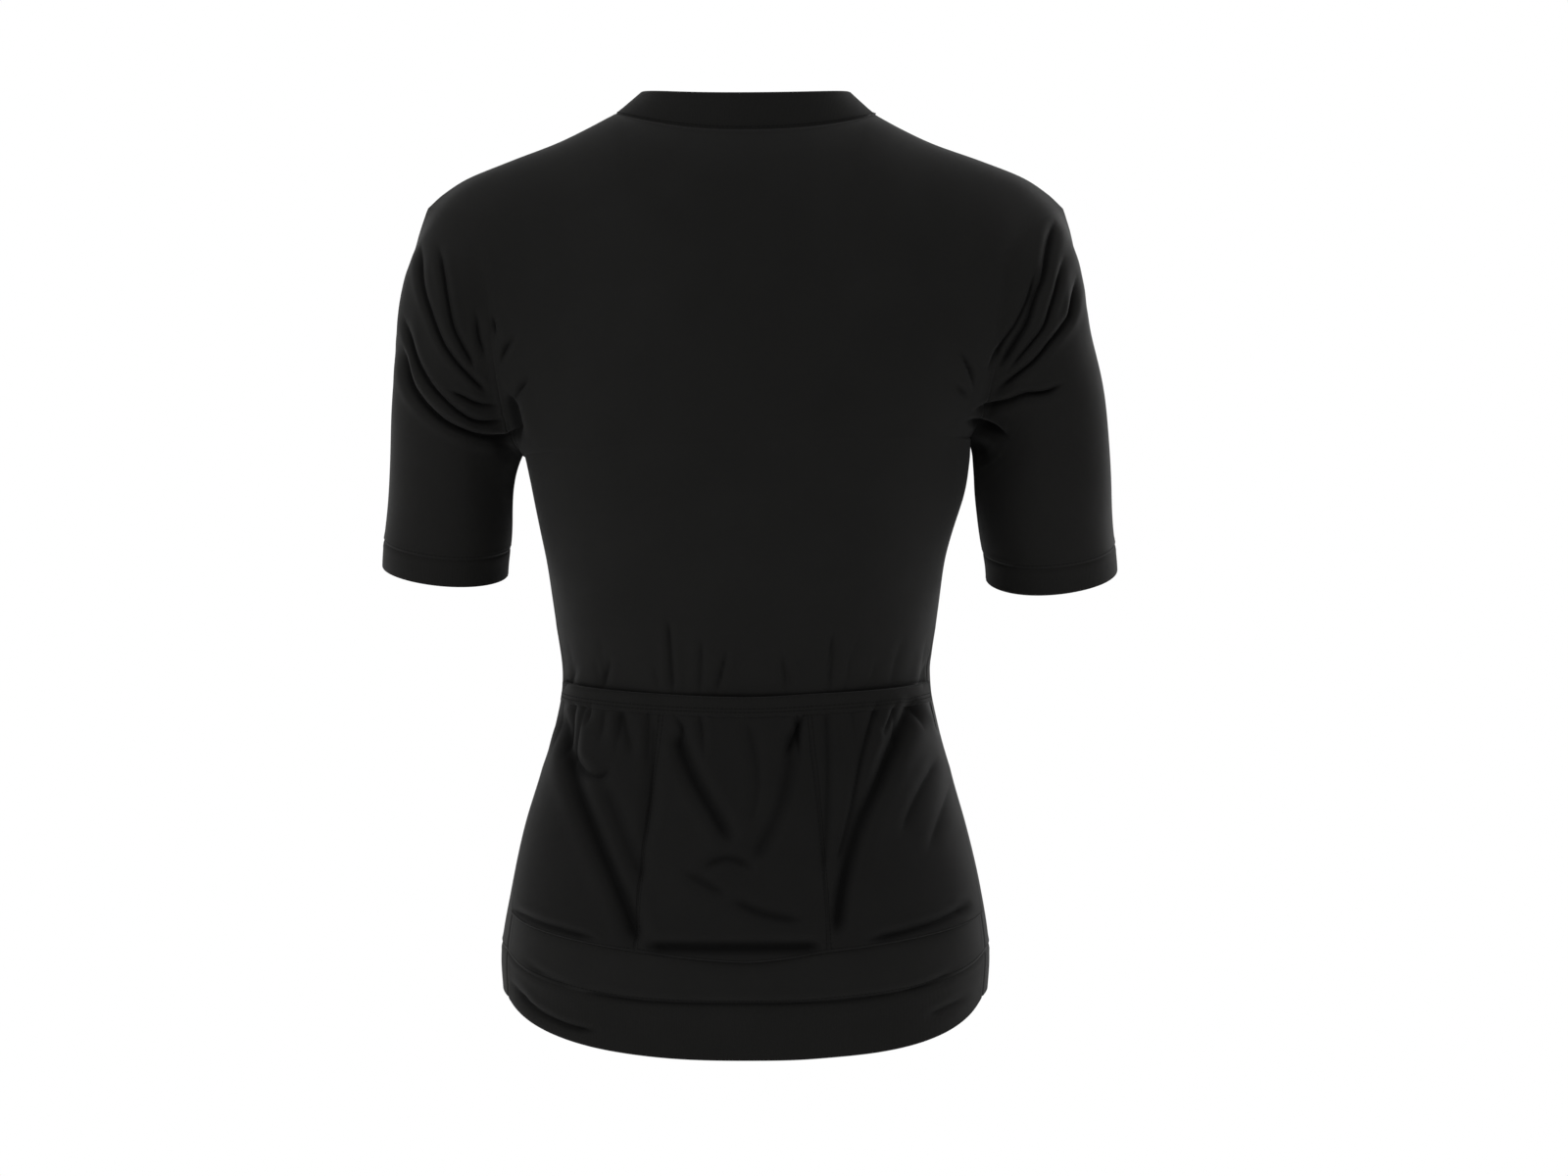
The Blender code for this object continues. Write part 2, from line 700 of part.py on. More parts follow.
def cut_line(points, out, start, end):
    """The stretch of a line between two distances along it."""
    steps = np.linalg.norm(np.diff(points, axis=0), axis=1)
    along = np.concatenate(((0.0,), np.cumsum(steps)))
    inside = (along > start + MERGE) & (along < end - MERGE)
    places = np.concatenate(((start,), along[inside], (end,)))
    cut = [np.stack([np.interp(places, along, values[:, k]) for k in range(3)], axis=1) for values in (points, out)]
    return cut[0], cut[1]


def add_bar(name, points, out, half_width, low, high, material, group):
    """Flat bar along a line, from one height above the cloth's outer surface to another."""
    sides = np.array((-half_width, half_width))[None, :, None] * np.array((1.0, 0.0, 0.0))
    surface = points[:, None, :] + sides
    outward = np.repeat(out[:, None, :], 2, axis=1)
    make_wall(name, surface + outward * high, surface + outward * low, False, material, group)


def box_mesh(size, centre):
    mesh = bpy.data.meshes.new("block")
    block = bmesh.new()
    bmesh.ops.create_cube(block, size=1.0)
    bmesh.ops.scale(block, vec=size, verts=block.verts)
    bmesh.ops.translate(block, vec=centre, verts=block.verts)
    block.to_mesh(mesh)
    block.free()
    return mesh


def add_block(name, size, centre, frame, group):
    block = bpy.data.objects.new(name, box_mesh(size, centre))
    block.matrix_world = frame
    group.objects.link(block)
    return block


def hide_tool(block):
    block.hide_render = True
    block.display_type = "WIRE"


def combine(piece, tool, operation):
    step = piece.modifiers.new(operation.lower(), "BOOLEAN")
    step.operation = operation
    step.solver = "EXACT"
    step.object = tool
    hide_tool(tool)


def slider_frame(points, out):
    """Frame on the zip where the slider sits: X across, Z up the zip, -Y out of the cloth."""
    below, _ = cut_line(points, out, 0.0, line_length(points) - SLIDER_BELOW_TOP)
    collar_rise = unit(points[-1] - points[-1 - COLLAR_ROWS])
    across = Vector((1.0, 0.0, 0.0))
    upward = Vector(collar_rise)
    frame = Matrix((across, upward.cross(across), upward)).transposed().to_4x4()
    frame.translation = Vector(below[-1])
    return frame


def add_slider(frame, materials, group, tools):
    """Two plates joined by a post through the zip, and the bridge that the pull hangs in."""
    tape_back = CLOTH + SEAM_GAP + TAPE
    face = -SEAM_GAP - SLIDER_PLATE
    depth = tape_back + SEAM_GAP + SLIDER_PLAY + 2 * SLIDER_PLATE
    plate_size = (2 * SLIDER_HALF_WIDTH, SLIDER_PLATE, SLIDER_LENGTH)
    slider = add_block("zip_slider", plate_size, (0, face + SLIDER_PLATE / 2, 0), frame, group)
    slider.data.materials.append(materials["zip"])
    back_centre = (0, face + depth - SLIDER_PLATE / 2, 0)
    post_centre = (0, face + depth / 2, 0)
    bridge_depth = PULL_STANDOFF + BRIDGE_INNER + BRIDGE_BAR
    bridge_height = 2 * (BRIDGE_INNER + BRIDGE_BAR)
    sink = SLIDER_PLATE / 2
    bridge_centre = (0, face + (sink - bridge_depth) / 2, 0)
    shapes = (
        ("slider_back_plate", plate_size, back_centre),
        ("slider_post", (SLIDER_POST_WIDTH, depth - SLIDER_PLATE, SLIDER_POST_HEIGHT), post_centre),
        ("slider_bridge", (BRIDGE_WIDTH, bridge_depth + sink, bridge_height), bridge_centre),
    )
    for name, size, centre in shapes:
        combine(slider, add_block(name, size, centre, frame, tools), "UNION")
    eye_depth = PULL_STANDOFF + BRIDGE_INNER
    eye_size = (2 * BRIDGE_WIDTH, eye_depth, 2 * BRIDGE_INNER)
    eye = add_block("slider_bridge_eye", eye_size, (0, face - eye_depth / 2, 0), frame, tools)
    combine(slider, eye, "DIFFERENCE")
    return face - PULL_STANDOFF


def add_pull(frame, axis_depth, materials, group, tools):
    """Flat tab that hangs in the bridge. Its origin is on the axis it swings about."""
    hinge = frame @ Matrix.Translation((0.0, axis_depth, 0.0))
    height = PULL_BAR / 2 + PULL_LENGTH
    centre = (0, 0, PULL_BAR / 2 - height / 2)
    pull = add_block("zip_pull", (PULL_WIDTH, PULL_THICKNESS, height), centre, hinge, group)
    pull.data.materials.append(materials["zip"])
    corners = pull.modifiers.new("corners", "BEVEL")
    corners.width = PULL_ROUND
    corners.segments = 2
    corners.limit_method = "WEIGHT"
    weights = pull.data.attributes.new("bevel_weight_edge", "FLOAT", "EDGE")
    for edge in pull.data.edges:
        a, b = (pull.data.vertices[k].co for k in edge.vertices)
        weights.data[edge.index].value = 1.0 if abs(a.y - b.y) > MERGE else 0.0
    eye_centre = (0, 0, -PULL_BAR / 2 - PULL_EYE_HEIGHT / 2)
    eye_size = (PULL_EYE_WIDTH, 2 * PULL_THICKNESS, PULL_EYE_HEIGHT)
    combine(pull, add_block("pull_eye", eye_size, eye_centre, hinge, tools), "DIFFERENCE")


def add_zip(panels, directions, materials, group, tools):
    """Tapes behind the fronts, the chain between them, its stop, the slider at the top and its pull."""
    lines = {side: zip_line(panels, directions, side) for side in ("left", "right")}
    for side, line in lines.items():
        add_tape(side, line, materials["tape"], group)
    points, out = centre_line(lines["left"])
    chain_top = line_length(points) - SLIDER_BELOW_TOP - SLIDER_POST_HEIGHT / 2 - SEAM_GAP
    chain_foot = STOP_LENGTH + SEAM_GAP
    part, part_out = cut_line(points, out, chain_foot, chain_top)
    add_bar("zip_chain", part, part_out, ZIP_HALF_CHAIN, -CLOTH, 0.0, materials["zip"], group)
    part, part_out = cut_line(points, out, SEAM_GAP, STOP_LENGTH)
    add_bar("zip_stop", part, part_out, ZIP_HALF_CHAIN, -CLOTH, STOP_PROUD, materials["zip"], group)
    frame = slider_frame(points, out)
    axis_depth = add_slider(frame, materials, group, tools)
    add_pull(frame, axis_depth, materials, group, tools)


def build():
    clear_scene()
    group = new_collection(OBJECT_NAME)
    tools = new_collection(OBJECT_NAME + "_cutters")
    materials = {slot: make_material(*finish) for slot, finish in MATERIALS.items()}
    panels, row = sewn_panels()
    directions = mitres(panels)
    add_sewn_panels(panels, directions, materials, group)
    add_pockets(panels["back_panel"][0], directions["back_panel"], row, materials, group)
    add_zip(panels, directions, materials, group, tools)


build()
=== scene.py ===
"""Looks of the cycling jersey: fine cloth on the form of its panels, with folds, seams, stitches and zip.

Metres, +Z up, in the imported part's frame: the zip is on the -Y side and the wearer's left is +X.
The panels repeat the part's form at a finer grain. Folds then move the cloth in or out of that form.
"""
import math

import bmesh
import bpy
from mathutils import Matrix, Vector
import numpy as np


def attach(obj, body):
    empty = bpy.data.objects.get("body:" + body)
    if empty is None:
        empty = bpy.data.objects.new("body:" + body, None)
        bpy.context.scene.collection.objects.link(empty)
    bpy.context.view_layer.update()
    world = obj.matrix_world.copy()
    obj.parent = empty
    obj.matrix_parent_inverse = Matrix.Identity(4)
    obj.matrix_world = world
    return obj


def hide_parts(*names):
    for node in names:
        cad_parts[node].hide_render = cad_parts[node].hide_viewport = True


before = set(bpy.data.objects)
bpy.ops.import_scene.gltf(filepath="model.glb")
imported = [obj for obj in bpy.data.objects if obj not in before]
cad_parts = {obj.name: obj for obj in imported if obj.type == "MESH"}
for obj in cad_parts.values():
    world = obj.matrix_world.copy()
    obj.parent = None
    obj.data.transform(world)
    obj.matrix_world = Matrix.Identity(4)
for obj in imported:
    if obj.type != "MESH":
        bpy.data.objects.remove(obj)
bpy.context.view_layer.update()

MM = 0.001
SIDES = ("left", "right")


def table(columns, rows):
    """Rows of values by name, each value under its column's name."""
    return {name: dict(zip(columns.split(), row)) for name, row in rows.items()}


# Form of the garment, as in the part --------------------

TORSO_COLUMNS = ("height", "half_width", "back", "front", "side", "squareness", "seam_turn")
TORSO = (
    (-0.630, 0.1590, 0.117, -0.109, 0.004, 2.25, 15),
    (-0.590, 0.1625, 0.117, -0.111, 0.003, 2.25, 15),
    (-0.560, 0.1640, 0.116, -0.112, 0.002, 2.25, 15),
    (-0.520, 0.1580, 0.108, -0.112, 0.000, 2.25, 15),
    (-0.480, 0.1490, 0.097, -0.110, -0.004, 2.25, 15),
    (-0.440, 0.1375, 0.084, -0.106, -0.009, 2.25, 14),
    (-0.410, 0.1285, 0.077, -0.104, -0.012, 2.25, 13),
    (-0.380, 0.1235, 0.076, -0.104, -0.013, 2.25, 12),
    (-0.345, 0.1280, 0.082, -0.108, -0.013, 2.30, 8),
    (-0.300, 0.1352, 0.094, -0.118, -0.012, 2.35, 3),
    (-0.260, 0.1427, 0.101, -0.125, -0.010, 2.40, 0),
    (-0.215, 0.1520, 0.105, -0.122, -0.007, 2.45, 0),
)

# Lines round the torso, hem upwards. cells is how finely the cloth up to the next line is divided.
LINES = table("side back front back_sweep front_sweep cells", {
    "hem": (-0.590, -0.6236, -0.574, 2.35, 2.0, 18),
    "band_top": (-0.560, -0.5876, -0.546, 2.5, 2.0, 14),
    "pocket_foot": (-0.535, -0.5610, -0.526, 1.3, 2.0, 92),
    "binding_foot": (-0.394, -0.4034, -0.394, 1.5, 2.0, 7),
    "pocket_mouth": (-0.382, -0.3914, -0.382, 1.5, 2.0, 72),
    "underarm": (-0.224, -0.2240, -0.224, 1.0, 1.0, 118),
})
LINE_NAMES = tuple(LINES)
# The back hem drops sooner from its side seam on one side
HEM_FULLNESS = {"left": 1.0, "right": 1.3}

SHOULDER_CELLS = 60
NECK_CELLS = 31
CORNER = 2 / 3
ZIP_COLUMN = 11 / 12
FRONT_NECK_TURN = 54
BACK_NECK_TURN = {"left": 67, "right": 74}

RIDGE_DEPTH = -0.004
BACK_ARCH = {"tip": 2.0, "centre": 2.4}
FRONT_ARCH = {"tip": 1.9, "centre": 1.3}
ARMHOLE_PULL = 2.0

# Shoulder seam from its tip to the neck, and armhole seams from underarm to tip, as x, y and z
SHOULDER_SEAM = (
    (0.214, -0.0040, -0.0630),
    (0.203, -0.0040, -0.0528),
    (0.186, -0.0035, -0.0420),
    (0.158, -0.0030, -0.0312),
    (0.128, -0.0030, -0.0205),
    (0.106, -0.0025, -0.0100),
    (0.088, -0.0020, 0.0000),
)
ARMHOLE = {
    "back": (
        (0.1500, -0.006, -0.224),
        (0.1575, 0.024, -0.211),
        (0.1640, 0.047, -0.181),
        (0.1675, 0.056, -0.146),
        (0.1715, 0.055, -0.112),
        (0.1840, 0.043, -0.086),
        (0.2030, 0.022, -0.069),
        (0.2140, -0.004, -0.063),
    ),
    "front": (
        (0.1500, -0.006, -0.224),
        (0.1565, -0.034, -0.210),
        (0.1615, -0.052, -0.179),
        (0.1645, -0.058, -0.144),
        (0.1690, -0.056, -0.111),
        (0.1820, -0.046, -0.086),
        (0.2020, -0.028, -0.069),
        (0.2140, -0.004, -0.063),
    ),
}

COLLAR = table("half_width side_y side_z back_y back_z front_y front_z", {
    "seam": (0.088, -0.002, 0.0000, 0.052, -0.0153, -0.068, -0.075),
    "edge": (0.071, -0.002, 0.0150, 0.047, 0.0090, -0.060, -0.053),
})
COLLAR_ZIP_PLACE = 3 / 4
BACK_NECK_SWEEP = 1.7
FRONT_NECK_SWEEP = 1.4
COLLAR_CELLS = 9

ARM = table("underarm cuff_x cuff_y cuff_z half_width half_depth lean", {
    "left": (-0.230, 0.2027, -0.030, -0.3065, 0.0425, 0.049, 13),
    "right": (-0.218, 0.2050, -0.032, -0.3095, 0.0445, 0.050, 16),
})
ARM_OUT = 5
CUFF_DEPTH = 0.018
SLEEVE_CELLS = 130
CUFF_CELLS = 9
SLEEVE_HANDLE = 0.34
SLEEVE_OUT = {"underarm": 0.46, "tip": 0.36, "halfway": 0.55}
SLEEVE_BULGE = 0.12
SLEEVE_DOWN = {"end": -1.0, "halfway": 0.75}

POCKET_SIDE_INSET = 0.0012
ZIP_HALF_SLOT = 0.0032
MERGE = 0.00001

# How many times finer than the body the most folded pieces are
FINER = {"sleeve": 1.5, "pocket": 1.5}
INNER_SKIN_STEP = 3

# How far the form is eased where the part's panels meet at an angle, in cells and rounds of smoothing
CORNER_EASE = {"cells": 10, "rounds": 60}
ARMHOLE_EASE = {"cells": 16, "rounds": 70, "ends": 0.14}

# Cloth as it is seen --------------------

CLOTH = 0.9 * MM
BAND = 1.3 * MM
RIM_TURNS = (45, 90, 135)

# A seam's edge sinks into a groove, and the layers sewn under it raise a ridge beside it
GROOVE = {"depth": 0.50 * MM, "width": 0.9 * MM, "ridge": 0.22 * MM, "ridge_at": 3.4 * MM,
          "ridge_width": 1.5 * MM}

# The seams round the top of each armhole lie nearly flat
FLAT_SEAM = {"from": 0.12, "span": 0.03, "low": -0.20, "rise": 0.06, "share": 0.85}

# The camera stands level behind the garment. PIXEL is a photo pixel's size at the garment's middle.
PHOTO_WIDTH = 1600
PIXEL = 0.66 * MM
GARMENT_CENTRE_PIXEL = 761
CAMERA_DISTANCE = 2.8
CAMERA_HEIGHT = -0.319
SENSOR = 36.0


def mix(a, b, t):
    return a + (b - a) * t


def unit(vectors):
    return vectors / np.linalg.norm(vectors, axis=-1, keepdims=True)


def smooth_step(x):
    x = np.clip(x, 0.0, 1.0)
    return x * x * (3 - 2 * x)


def spaced(cells):
    """Places from 0 to 1 in even cells, with the first and last cell cut in three for the seams."""
    third = 1 / (3 * cells)
    ends = (third, 2 * third, 1 - 2 * third, 1 - third)
    return np.sort(np.concatenate((np.arange(cells + 1) / cells, ends)))


def along_table(rows, place):
    """Points at places (0 to 1) on the smooth curve through the rows."""
    rows = np.array(rows, float)
    last = len(rows) - 1
    scaled = np.clip(np.asarray(place, float), 0, 1) * last
    k = np.minimum(scaled.astype(int), last - 1)
    padded = np.vstack((2 * rows[0] - rows[1], rows, 2 * rows[last] - rows[last - 1]))
    before, start, end, after = (padded[k + i] for i in range(4))
    t = (scaled - k)[..., None]
    bend = 2 * before - 5 * start + 4 * end - after
    twist = 3 * start - before - 3 * end + after
    return 0.5 * (2 * start + t * (end - before + t * (bend + t * twist)))


# Body --------------------

def torso_at(height):
    """The torso's section sizes at each height, by name."""
    heights = np.array([row[0] for row in TORSO])
    last = len(heights) - 1
    bounded = np.clip(height, heights[0], heights[last])
    k = np.clip(np.searchsorted(heights, bounded, side="right") - 1, 0, last - 1)
    t = (bounded - heights[k]) / (heights[k + 1] - heights[k])
    return dict(zip(TORSO_COLUMNS, np.moveaxis(along_table(TORSO, (k + t) / last), -1, 0)))


def torso_point(height, turn):
    """Points of the torso: turn is 0 at the widest line, 90 at the centre back, -90 at the centre front."""
    size = torso_at(height)
    power = 2 / size["squareness"]
    across = np.maximum(np.cos(np.radians(turn)), 0.0)
    along = np.sin(np.radians(turn))
    end = np.where(along > 0, size["back"], size["front"])
    y = size["side"] + (end - size["side"]) * np.abs(along) ** power
    return np.stack((size["half_width"] * across ** power, y, height), axis=-1)


def turn_at(face, side, u, height):
    seam = torso_at(height)["seam_turn"]
    at_corner = BACK_NECK_TURN[side] if face == "back" else -FRONT_NECK_TURN
    at_centre = 90 if face == "back" else -90
    outer = mix(seam, at_corner, u / CORNER)
    return np.where(u < CORNER, outer, mix(at_corner, at_centre, (u - CORNER) / (1 - CORNER)))


def line_height(name, face, side, u):
    row = LINES[name]
    start = ARM[side]["underarm"] if name == "underarm" else row["side"]
    sweep = row[face + "_sweep"] * (HEM_FULLNESS[side] if name == "hem" and face == "back" else 1)
    return start + (row[face] - start) * (1 - (1 - u) ** sweep)


def neck_point(ring, face, turn):
    """Points of the collar's seam or its edge: turn 0 at the side, 90 at the centre line."""
    size = COLLAR[ring]
    sweep = BACK_NECK_SWEEP if face == "back" else FRONT_NECK_SWEEP
    along = np.sin(np.radians(turn))
    x = size["half_width"] * np.cos(np.radians(turn))
    y = mix(size["side_y"], size[face + "_y"], along)
    return np.stack((x, y, mix(size["side_z"], size[face + "_z"], along ** sweep)), axis=-1)


def armhole_point(face, side, v):
    """Points of the armhole seam: v is 0 at the underarm and 1 at the shoulder tip."""
    points = along_table(ARMHOLE[face], v)
    tip = ARMHOLE[face][-1][2]
    lowest = ARMHOLE[face][0][2]
    points[..., 2] = tip + (points[..., 2] - tip) * (ARM[side]["underarm"] - tip) / (lowest - tip)
    return points


def upper_side(face, side, v):
    """Where the side column would run if no armhole were cut."""
    base = line_point("underarm", face, side, np.zeros(1))[0]
    top = np.array(SHOULDER_SEAM[0])
    power = 2 / (BACK_ARCH if face == "back" else FRONT_ARCH)["tip"]
    swing = v * math.pi / 2
    y = top[1] + (base[1] - top[1]) * max(math.cos(swing), 0.0) ** power
    return np.array((mix(base[0], top[0], v), y, mix(base[2], top[2], math.sin(swing) ** power)))


def upper_point(face, side, u, v):
    """Points above the underarm: v is 0 at the underarm line and 1 at the shoulder or neck seam."""
    base = line_point("underarm", face, side, u)
    on_neck = u > CORNER
    neck = neck_point("seam", face, 90 * np.clip((u - CORNER) / (1 - CORNER), 0, 1))
    top = np.where(on_neck[:, None], neck, along_table(SHOULDER_SEAM, u / CORNER))
    ridge = np.where(on_neck, RIDGE_DEPTH, top[:, 1])
    arch = BACK_ARCH if face == "back" else FRONT_ARCH
    power = mix(arch["tip"], arch["centre"], u)
    rise = base[:, 1] - ridge
    share = np.where(on_neck, (top[:, 1] - ridge) / rise, 0.0)
    reach = np.arccos(np.clip(share, 0, 1) ** (power / 2))
    swing = v * reach
    climb = (np.sin(swing) / np.sin(reach)) ** (2 / power)
    y = ridge + rise * np.maximum(np.cos(swing), 0) ** (2 / power)
    points = np.stack((mix(base[:, 0], top[:, 0], v), y, mix(base[:, 2], top[:, 2], climb)), axis=-1)
    pull = np.clip(1 - u / CORNER, 0, 1) ** ARMHOLE_PULL
    return points + (armhole_point(face, side, v) - upper_side(face, side, v)) * pull[:, None]


def line_point(name, face, side, u):
    height = line_height(name, face, side, u)
    return torso_point(height, turn_at(face, side, u, height))


def panel_row(face, side, u, w):
    """One row of a half panel: whole numbers of w are the lines, hem upwards, and the last is the top."""
    k = min(int(w), len(LINES) - 1)
    if k == len(LINES) - 1:
        return upper_point(face, side, u, w - k)
    low = line_height(LINE_NAMES[k], face, side, u)
    high = line_height(LINE_NAMES[k + 1], face, side, u)
    height = mix(low, high, w - k)
    return torso_point(height, turn_at(face, side, u, height))


def row_places():
    """Every row's place up a panel, and the row number of each line."""
    places = [0.0]
    first_row = {}
    for k, (name, line) in enumerate(LINES.items()):
        first_row[name] = len(places) - 1
        places += list(k + spaced(line["cells"])[1:])
    first_row["top"] = len(places) - 1
    return places, first_row


def column_places():
    shoulder = spaced(SHOULDER_CELLS) * CORNER
    return np.concatenate((shoulder, CORNER + spaced(NECK_CELLS)[1:] * (1 - CORNER)))


def half_panel(face, side, places):
    """Grid of a half panel on the +X side: rows upwards, columns from side seam to centre."""
    u = column_places()
    grid = np.array([panel_row(face, side, u, w) for w in places])
    if face == "front":
        inside = u > ZIP_COLUMN
        limit = np.array([panel_row(face, side, np.array((ZIP_COLUMN,)), w)[0, 0] for w in places])
        squeeze = 1 - ZIP_HALF_SLOT / limit[:, None]
        grid[:, inside, 0] = ZIP_HALF_SLOT + grid[:, inside, 0] * squeeze
    return grid


def mirrored(grid):
    """The grid on the other side of the centre plane, its columns turned round so that it still faces out."""
    return (grid * np.array((-1, 1, 1)))[:, ::-1]


# Sleeves and collar --------------------

def cuff_frame(side):
    """Direction of the arm, and the cuff's outward and backward directions."""
    lean = math.tan(math.radians(ARM[side]["lean"]))
    down = unit(np.array((math.tan(math.radians(ARM_OUT)), -lean, -1.0)))
    outward = unit(np.array((1.0, 0.0, 0.0)) - down[0] * down)
    return down, outward, np.cross(outward, down)


def cuff_point(side, turn, up):
    """Points on the cuff: turn 0 outside, 90 at the back, and up along the arm from its edge."""
    size = ARM[side]
    down, outward, backward = cuff_frame(side)
    centre = np.array((size["cuff_x"], size["cuff_y"], size["cuff_z"]))
    angle = np.radians(turn)[..., None]
    ring = outward * size["half_width"] * np.cos(angle) + backward * size["half_depth"] * np.sin(angle)
    return centre + ring - down * up


def sleeve_point(side, face, v, t):
    """Points of a sleeve: v round it as on the armhole, t is 0 at the cuff seam and 1 at the armhole."""
    head = armhole_point(face, side, v)
    sign = 1 if face == "back" else -1
    foot = cuff_point(side, sign * 180 * (1 - v), CUFF_DEPTH)
    halfway = np.sin(math.pi * v)
    leave = unit(np.stack((
        mix(SLEEVE_OUT["underarm"], SLEEVE_OUT["tip"], v) + SLEEVE_OUT["halfway"] * halfway,
        sign * SLEEVE_BULGE * halfway,
        SLEEVE_DOWN["end"] + SLEEVE_DOWN["halfway"] * halfway,
    ), axis=-1))
    handle = SLEEVE_HANDLE * np.linalg.norm(head - foot, axis=-1, keepdims=True)
    above = foot - cuff_frame(side)[0] * handle
    below = head + leave * handle
    s = 1 - t
    return s ** 3 * foot + 3 * s * s * t * above + 3 * s * t * t * below + t ** 3 * head


def armhole_places():
    return spaced(LINES["underarm"]["cells"])


def sleeve_grid(side):
    """From the underarm seam over the front to the tip, and down the back to the underarm seam."""
    v = armhole_places()
    rows = []
    for t in spaced(SLEEVE_CELLS):
        front = sleeve_point(side, "front", v, t)
        back = sleeve_point(side, "back", v[::-1], t)
        rows.append(np.concatenate((front, back[1:])))
    return np.array(rows)


def cuff_grid(side):
    v = armhole_places()
    turns = np.concatenate((-180 * (1 - v), 180 * (1 - v[::-1][1:])))
    return np.array([cuff_point(side, turns, CUFF_DEPTH * up) for up in spaced(CUFF_CELLS)])


def collar_grid():
    """Stand collar from its left front end round the back to its right front end."""
    u = spaced(NECK_CELLS)
    rows = []
    for t in spaced(COLLAR_CELLS):
        faces = [mix(*(neck_point(ring, face, 90 * u) for ring in COLLAR), t) for face in ("front", "back")]
        rows.append(np.concatenate((faces[0][::-1], faces[1][1:])))
    half = np.array(rows)
    widths = [mix(*(ring["half_width"] for ring in COLLAR.values()), t) for t in spaced(COLLAR_CELLS)]
    limit = math.cos(math.radians(90 * COLLAR_ZIP_PLACE)) * np.array(widths)
    near_zip = np.arange(half.shape[1]) < np.sum(u > COLLAR_ZIP_PLACE)
    squeeze = 1 - ZIP_HALF_SLOT / limit[:, None]
    half[:, near_zip, 0] = ZIP_HALF_SLOT + half[:, near_zip, 0] * squeeze
    return np.concatenate((half, mirrored(half)[:, 1:]), axis=1)


# Panels --------------------

def relax(grid, share, rounds):
    """Smooth each row of a grid by a share of the way. Its first and last columns stay."""
    for _ in range(rounds):
        grid[:, 1:-1] += ((grid[:, :-2] + grid[:, 2:]) / 2 - grid[:, 1:-1]) * share


def ease_corners(grid, columns):
    """Round off the crease in a panel below the neck corners. Its edges stay."""
    places = np.arange(grid.shape[1])
    weight = sum(np.exp(-((places - column) / CORNER_EASE["cells"]) ** 2) for column in columns)
    hold = smooth_step(np.arange(len(grid))[::-1] / CORNER_EASE["cells"])
    relax(grid, 0.5 * hold[:, None, None] * np.minimum(weight, 1)[None, 1:-1, None], CORNER_EASE["rounds"])


def ease_armholes(panels, row):
    """Round off the fold between body and sleeve along each armhole, but for its two ends."""
    cells = ARMHOLE_EASE["cells"]
    first = row["underarm"] - row["band_top"]
    v = armhole_places()
    ends = smooth_step(np.minimum(v, 1 - v) / ARMHOLE_EASE["ends"])
    along = smooth_step(1 - np.abs(np.arange(-cells, cells + 1)) / cells)
    share = 0.5 * ends[:, None, None] * along[None, 1:-1, None]
    for side in SIDES:
        sleeve = panels["sleeve_" + side]
        lower = np.arange(len(v))
        upper = 2 * (len(v) - 1) - lower
        columns = {"front": lower, "back": upper} if side == "left" else {"front": upper, "back": lower}
        inward = {"front": -1, "back": 1} if side == "left" else {"front": 1, "back": -1}
        for face in ("front", "back"):
            body = panels["back_panel" if face == "back" else "front_" + side]
            steps = np.arange(cells + 1)
            across = steps if inward[face] == 1 else body.shape[1] - 1 - steps
            on_body = np.ix_(first + lower, across)
            on_sleeve = np.ix_(sleeve.shape[0] - 1 - cells + steps, columns[face])
            strip = np.concatenate((sleeve[on_sleeve].swapaxes(0, 1), body[on_body][:, 1:]), axis=1)
            relax(strip, share, ARMHOLE_EASE["rounds"])
            sleeve[on_sleeve] = strip[:, :cells + 1].swapaxes(0, 1)
            body[on_body] = strip[:, cells:]


def body_grids():
    """Whole back and both fronts, hem to shoulder, each facing out."""
    places, first_row = row_places()
    back_left = half_panel("back", "left", places)
    back_right = mirrored(half_panel("back", "right", places))
    back = np.concatenate((back_left, back_right[:, 1:]), axis=1)
    corner = len(spaced(SHOULDER_CELLS)) - 1
    ease_corners(back, (corner, back.shape[1] - 1 - corner))
    fronts = {}
    for side in SIDES:
        half = half_panel("front", side, places)
        ease_corners(half, (corner,))
        fronts[side] = half[:, ::-1] if side == "left" else mirrored(half[:, ::-1])
    return back, fronts, first_row


def sewn_panels():
    """The smooth grid of every panel that meets another edge to edge."""
    back, fronts, row = body_grids()
    band = row["band_top"]
    panels = {"back_panel": back[band:], "hem_band_back": back[:band + 1], "collar": collar_grid()}
    for side, front in fronts.items():
        panels["front_" + side] = front[band:]
        panels["hem_band_front_" + side] = front[:band + 1]
        sleeve, cuff = sleeve_grid(side), cuff_grid(side)
        panels["sleeve_" + side] = sleeve if side == "left" else mirrored(sleeve)
        panels["cuff_" + side] = cuff if side == "left" else mirrored(cuff)
    ease_armholes(panels, row)
    return panels, row


def finer(grid, factor):
    """The same surface on a finer grid."""
    for axis in (0, 1):
        lines = np.moveaxis(grid, axis, 0)
        count = round((len(lines) - 1) * factor) + 1
        flat = along_table(lines.reshape(len(lines), -1), np.linspace(0, 1, count))
        grid = np.moveaxis(flat.reshape(count, *lines.shape[1:]), 0, axis)
    return grid


def grid_normals(grid):
    """Unit outward normals of a grid whose columns run left to right seen from outside."""
    return unit(np.cross(np.gradient(grid, axis=1), np.gradient(grid, axis=0)))


def border_places(shape):
    """Rows and columns of the open edge of a grid, in the order that its faces follow."""
    rows, columns = shape[:2]
    bottom = [(0, c) for c in range(columns - 1)]
    right = [(r, columns - 1) for r in range(rows - 1)]
    top = [(rows - 1, c) for c in range(columns - 1, 0, -1)]
    left = [(r, 0) for r in range(rows - 1, 0, -1)]
    return bottom + right + top + left


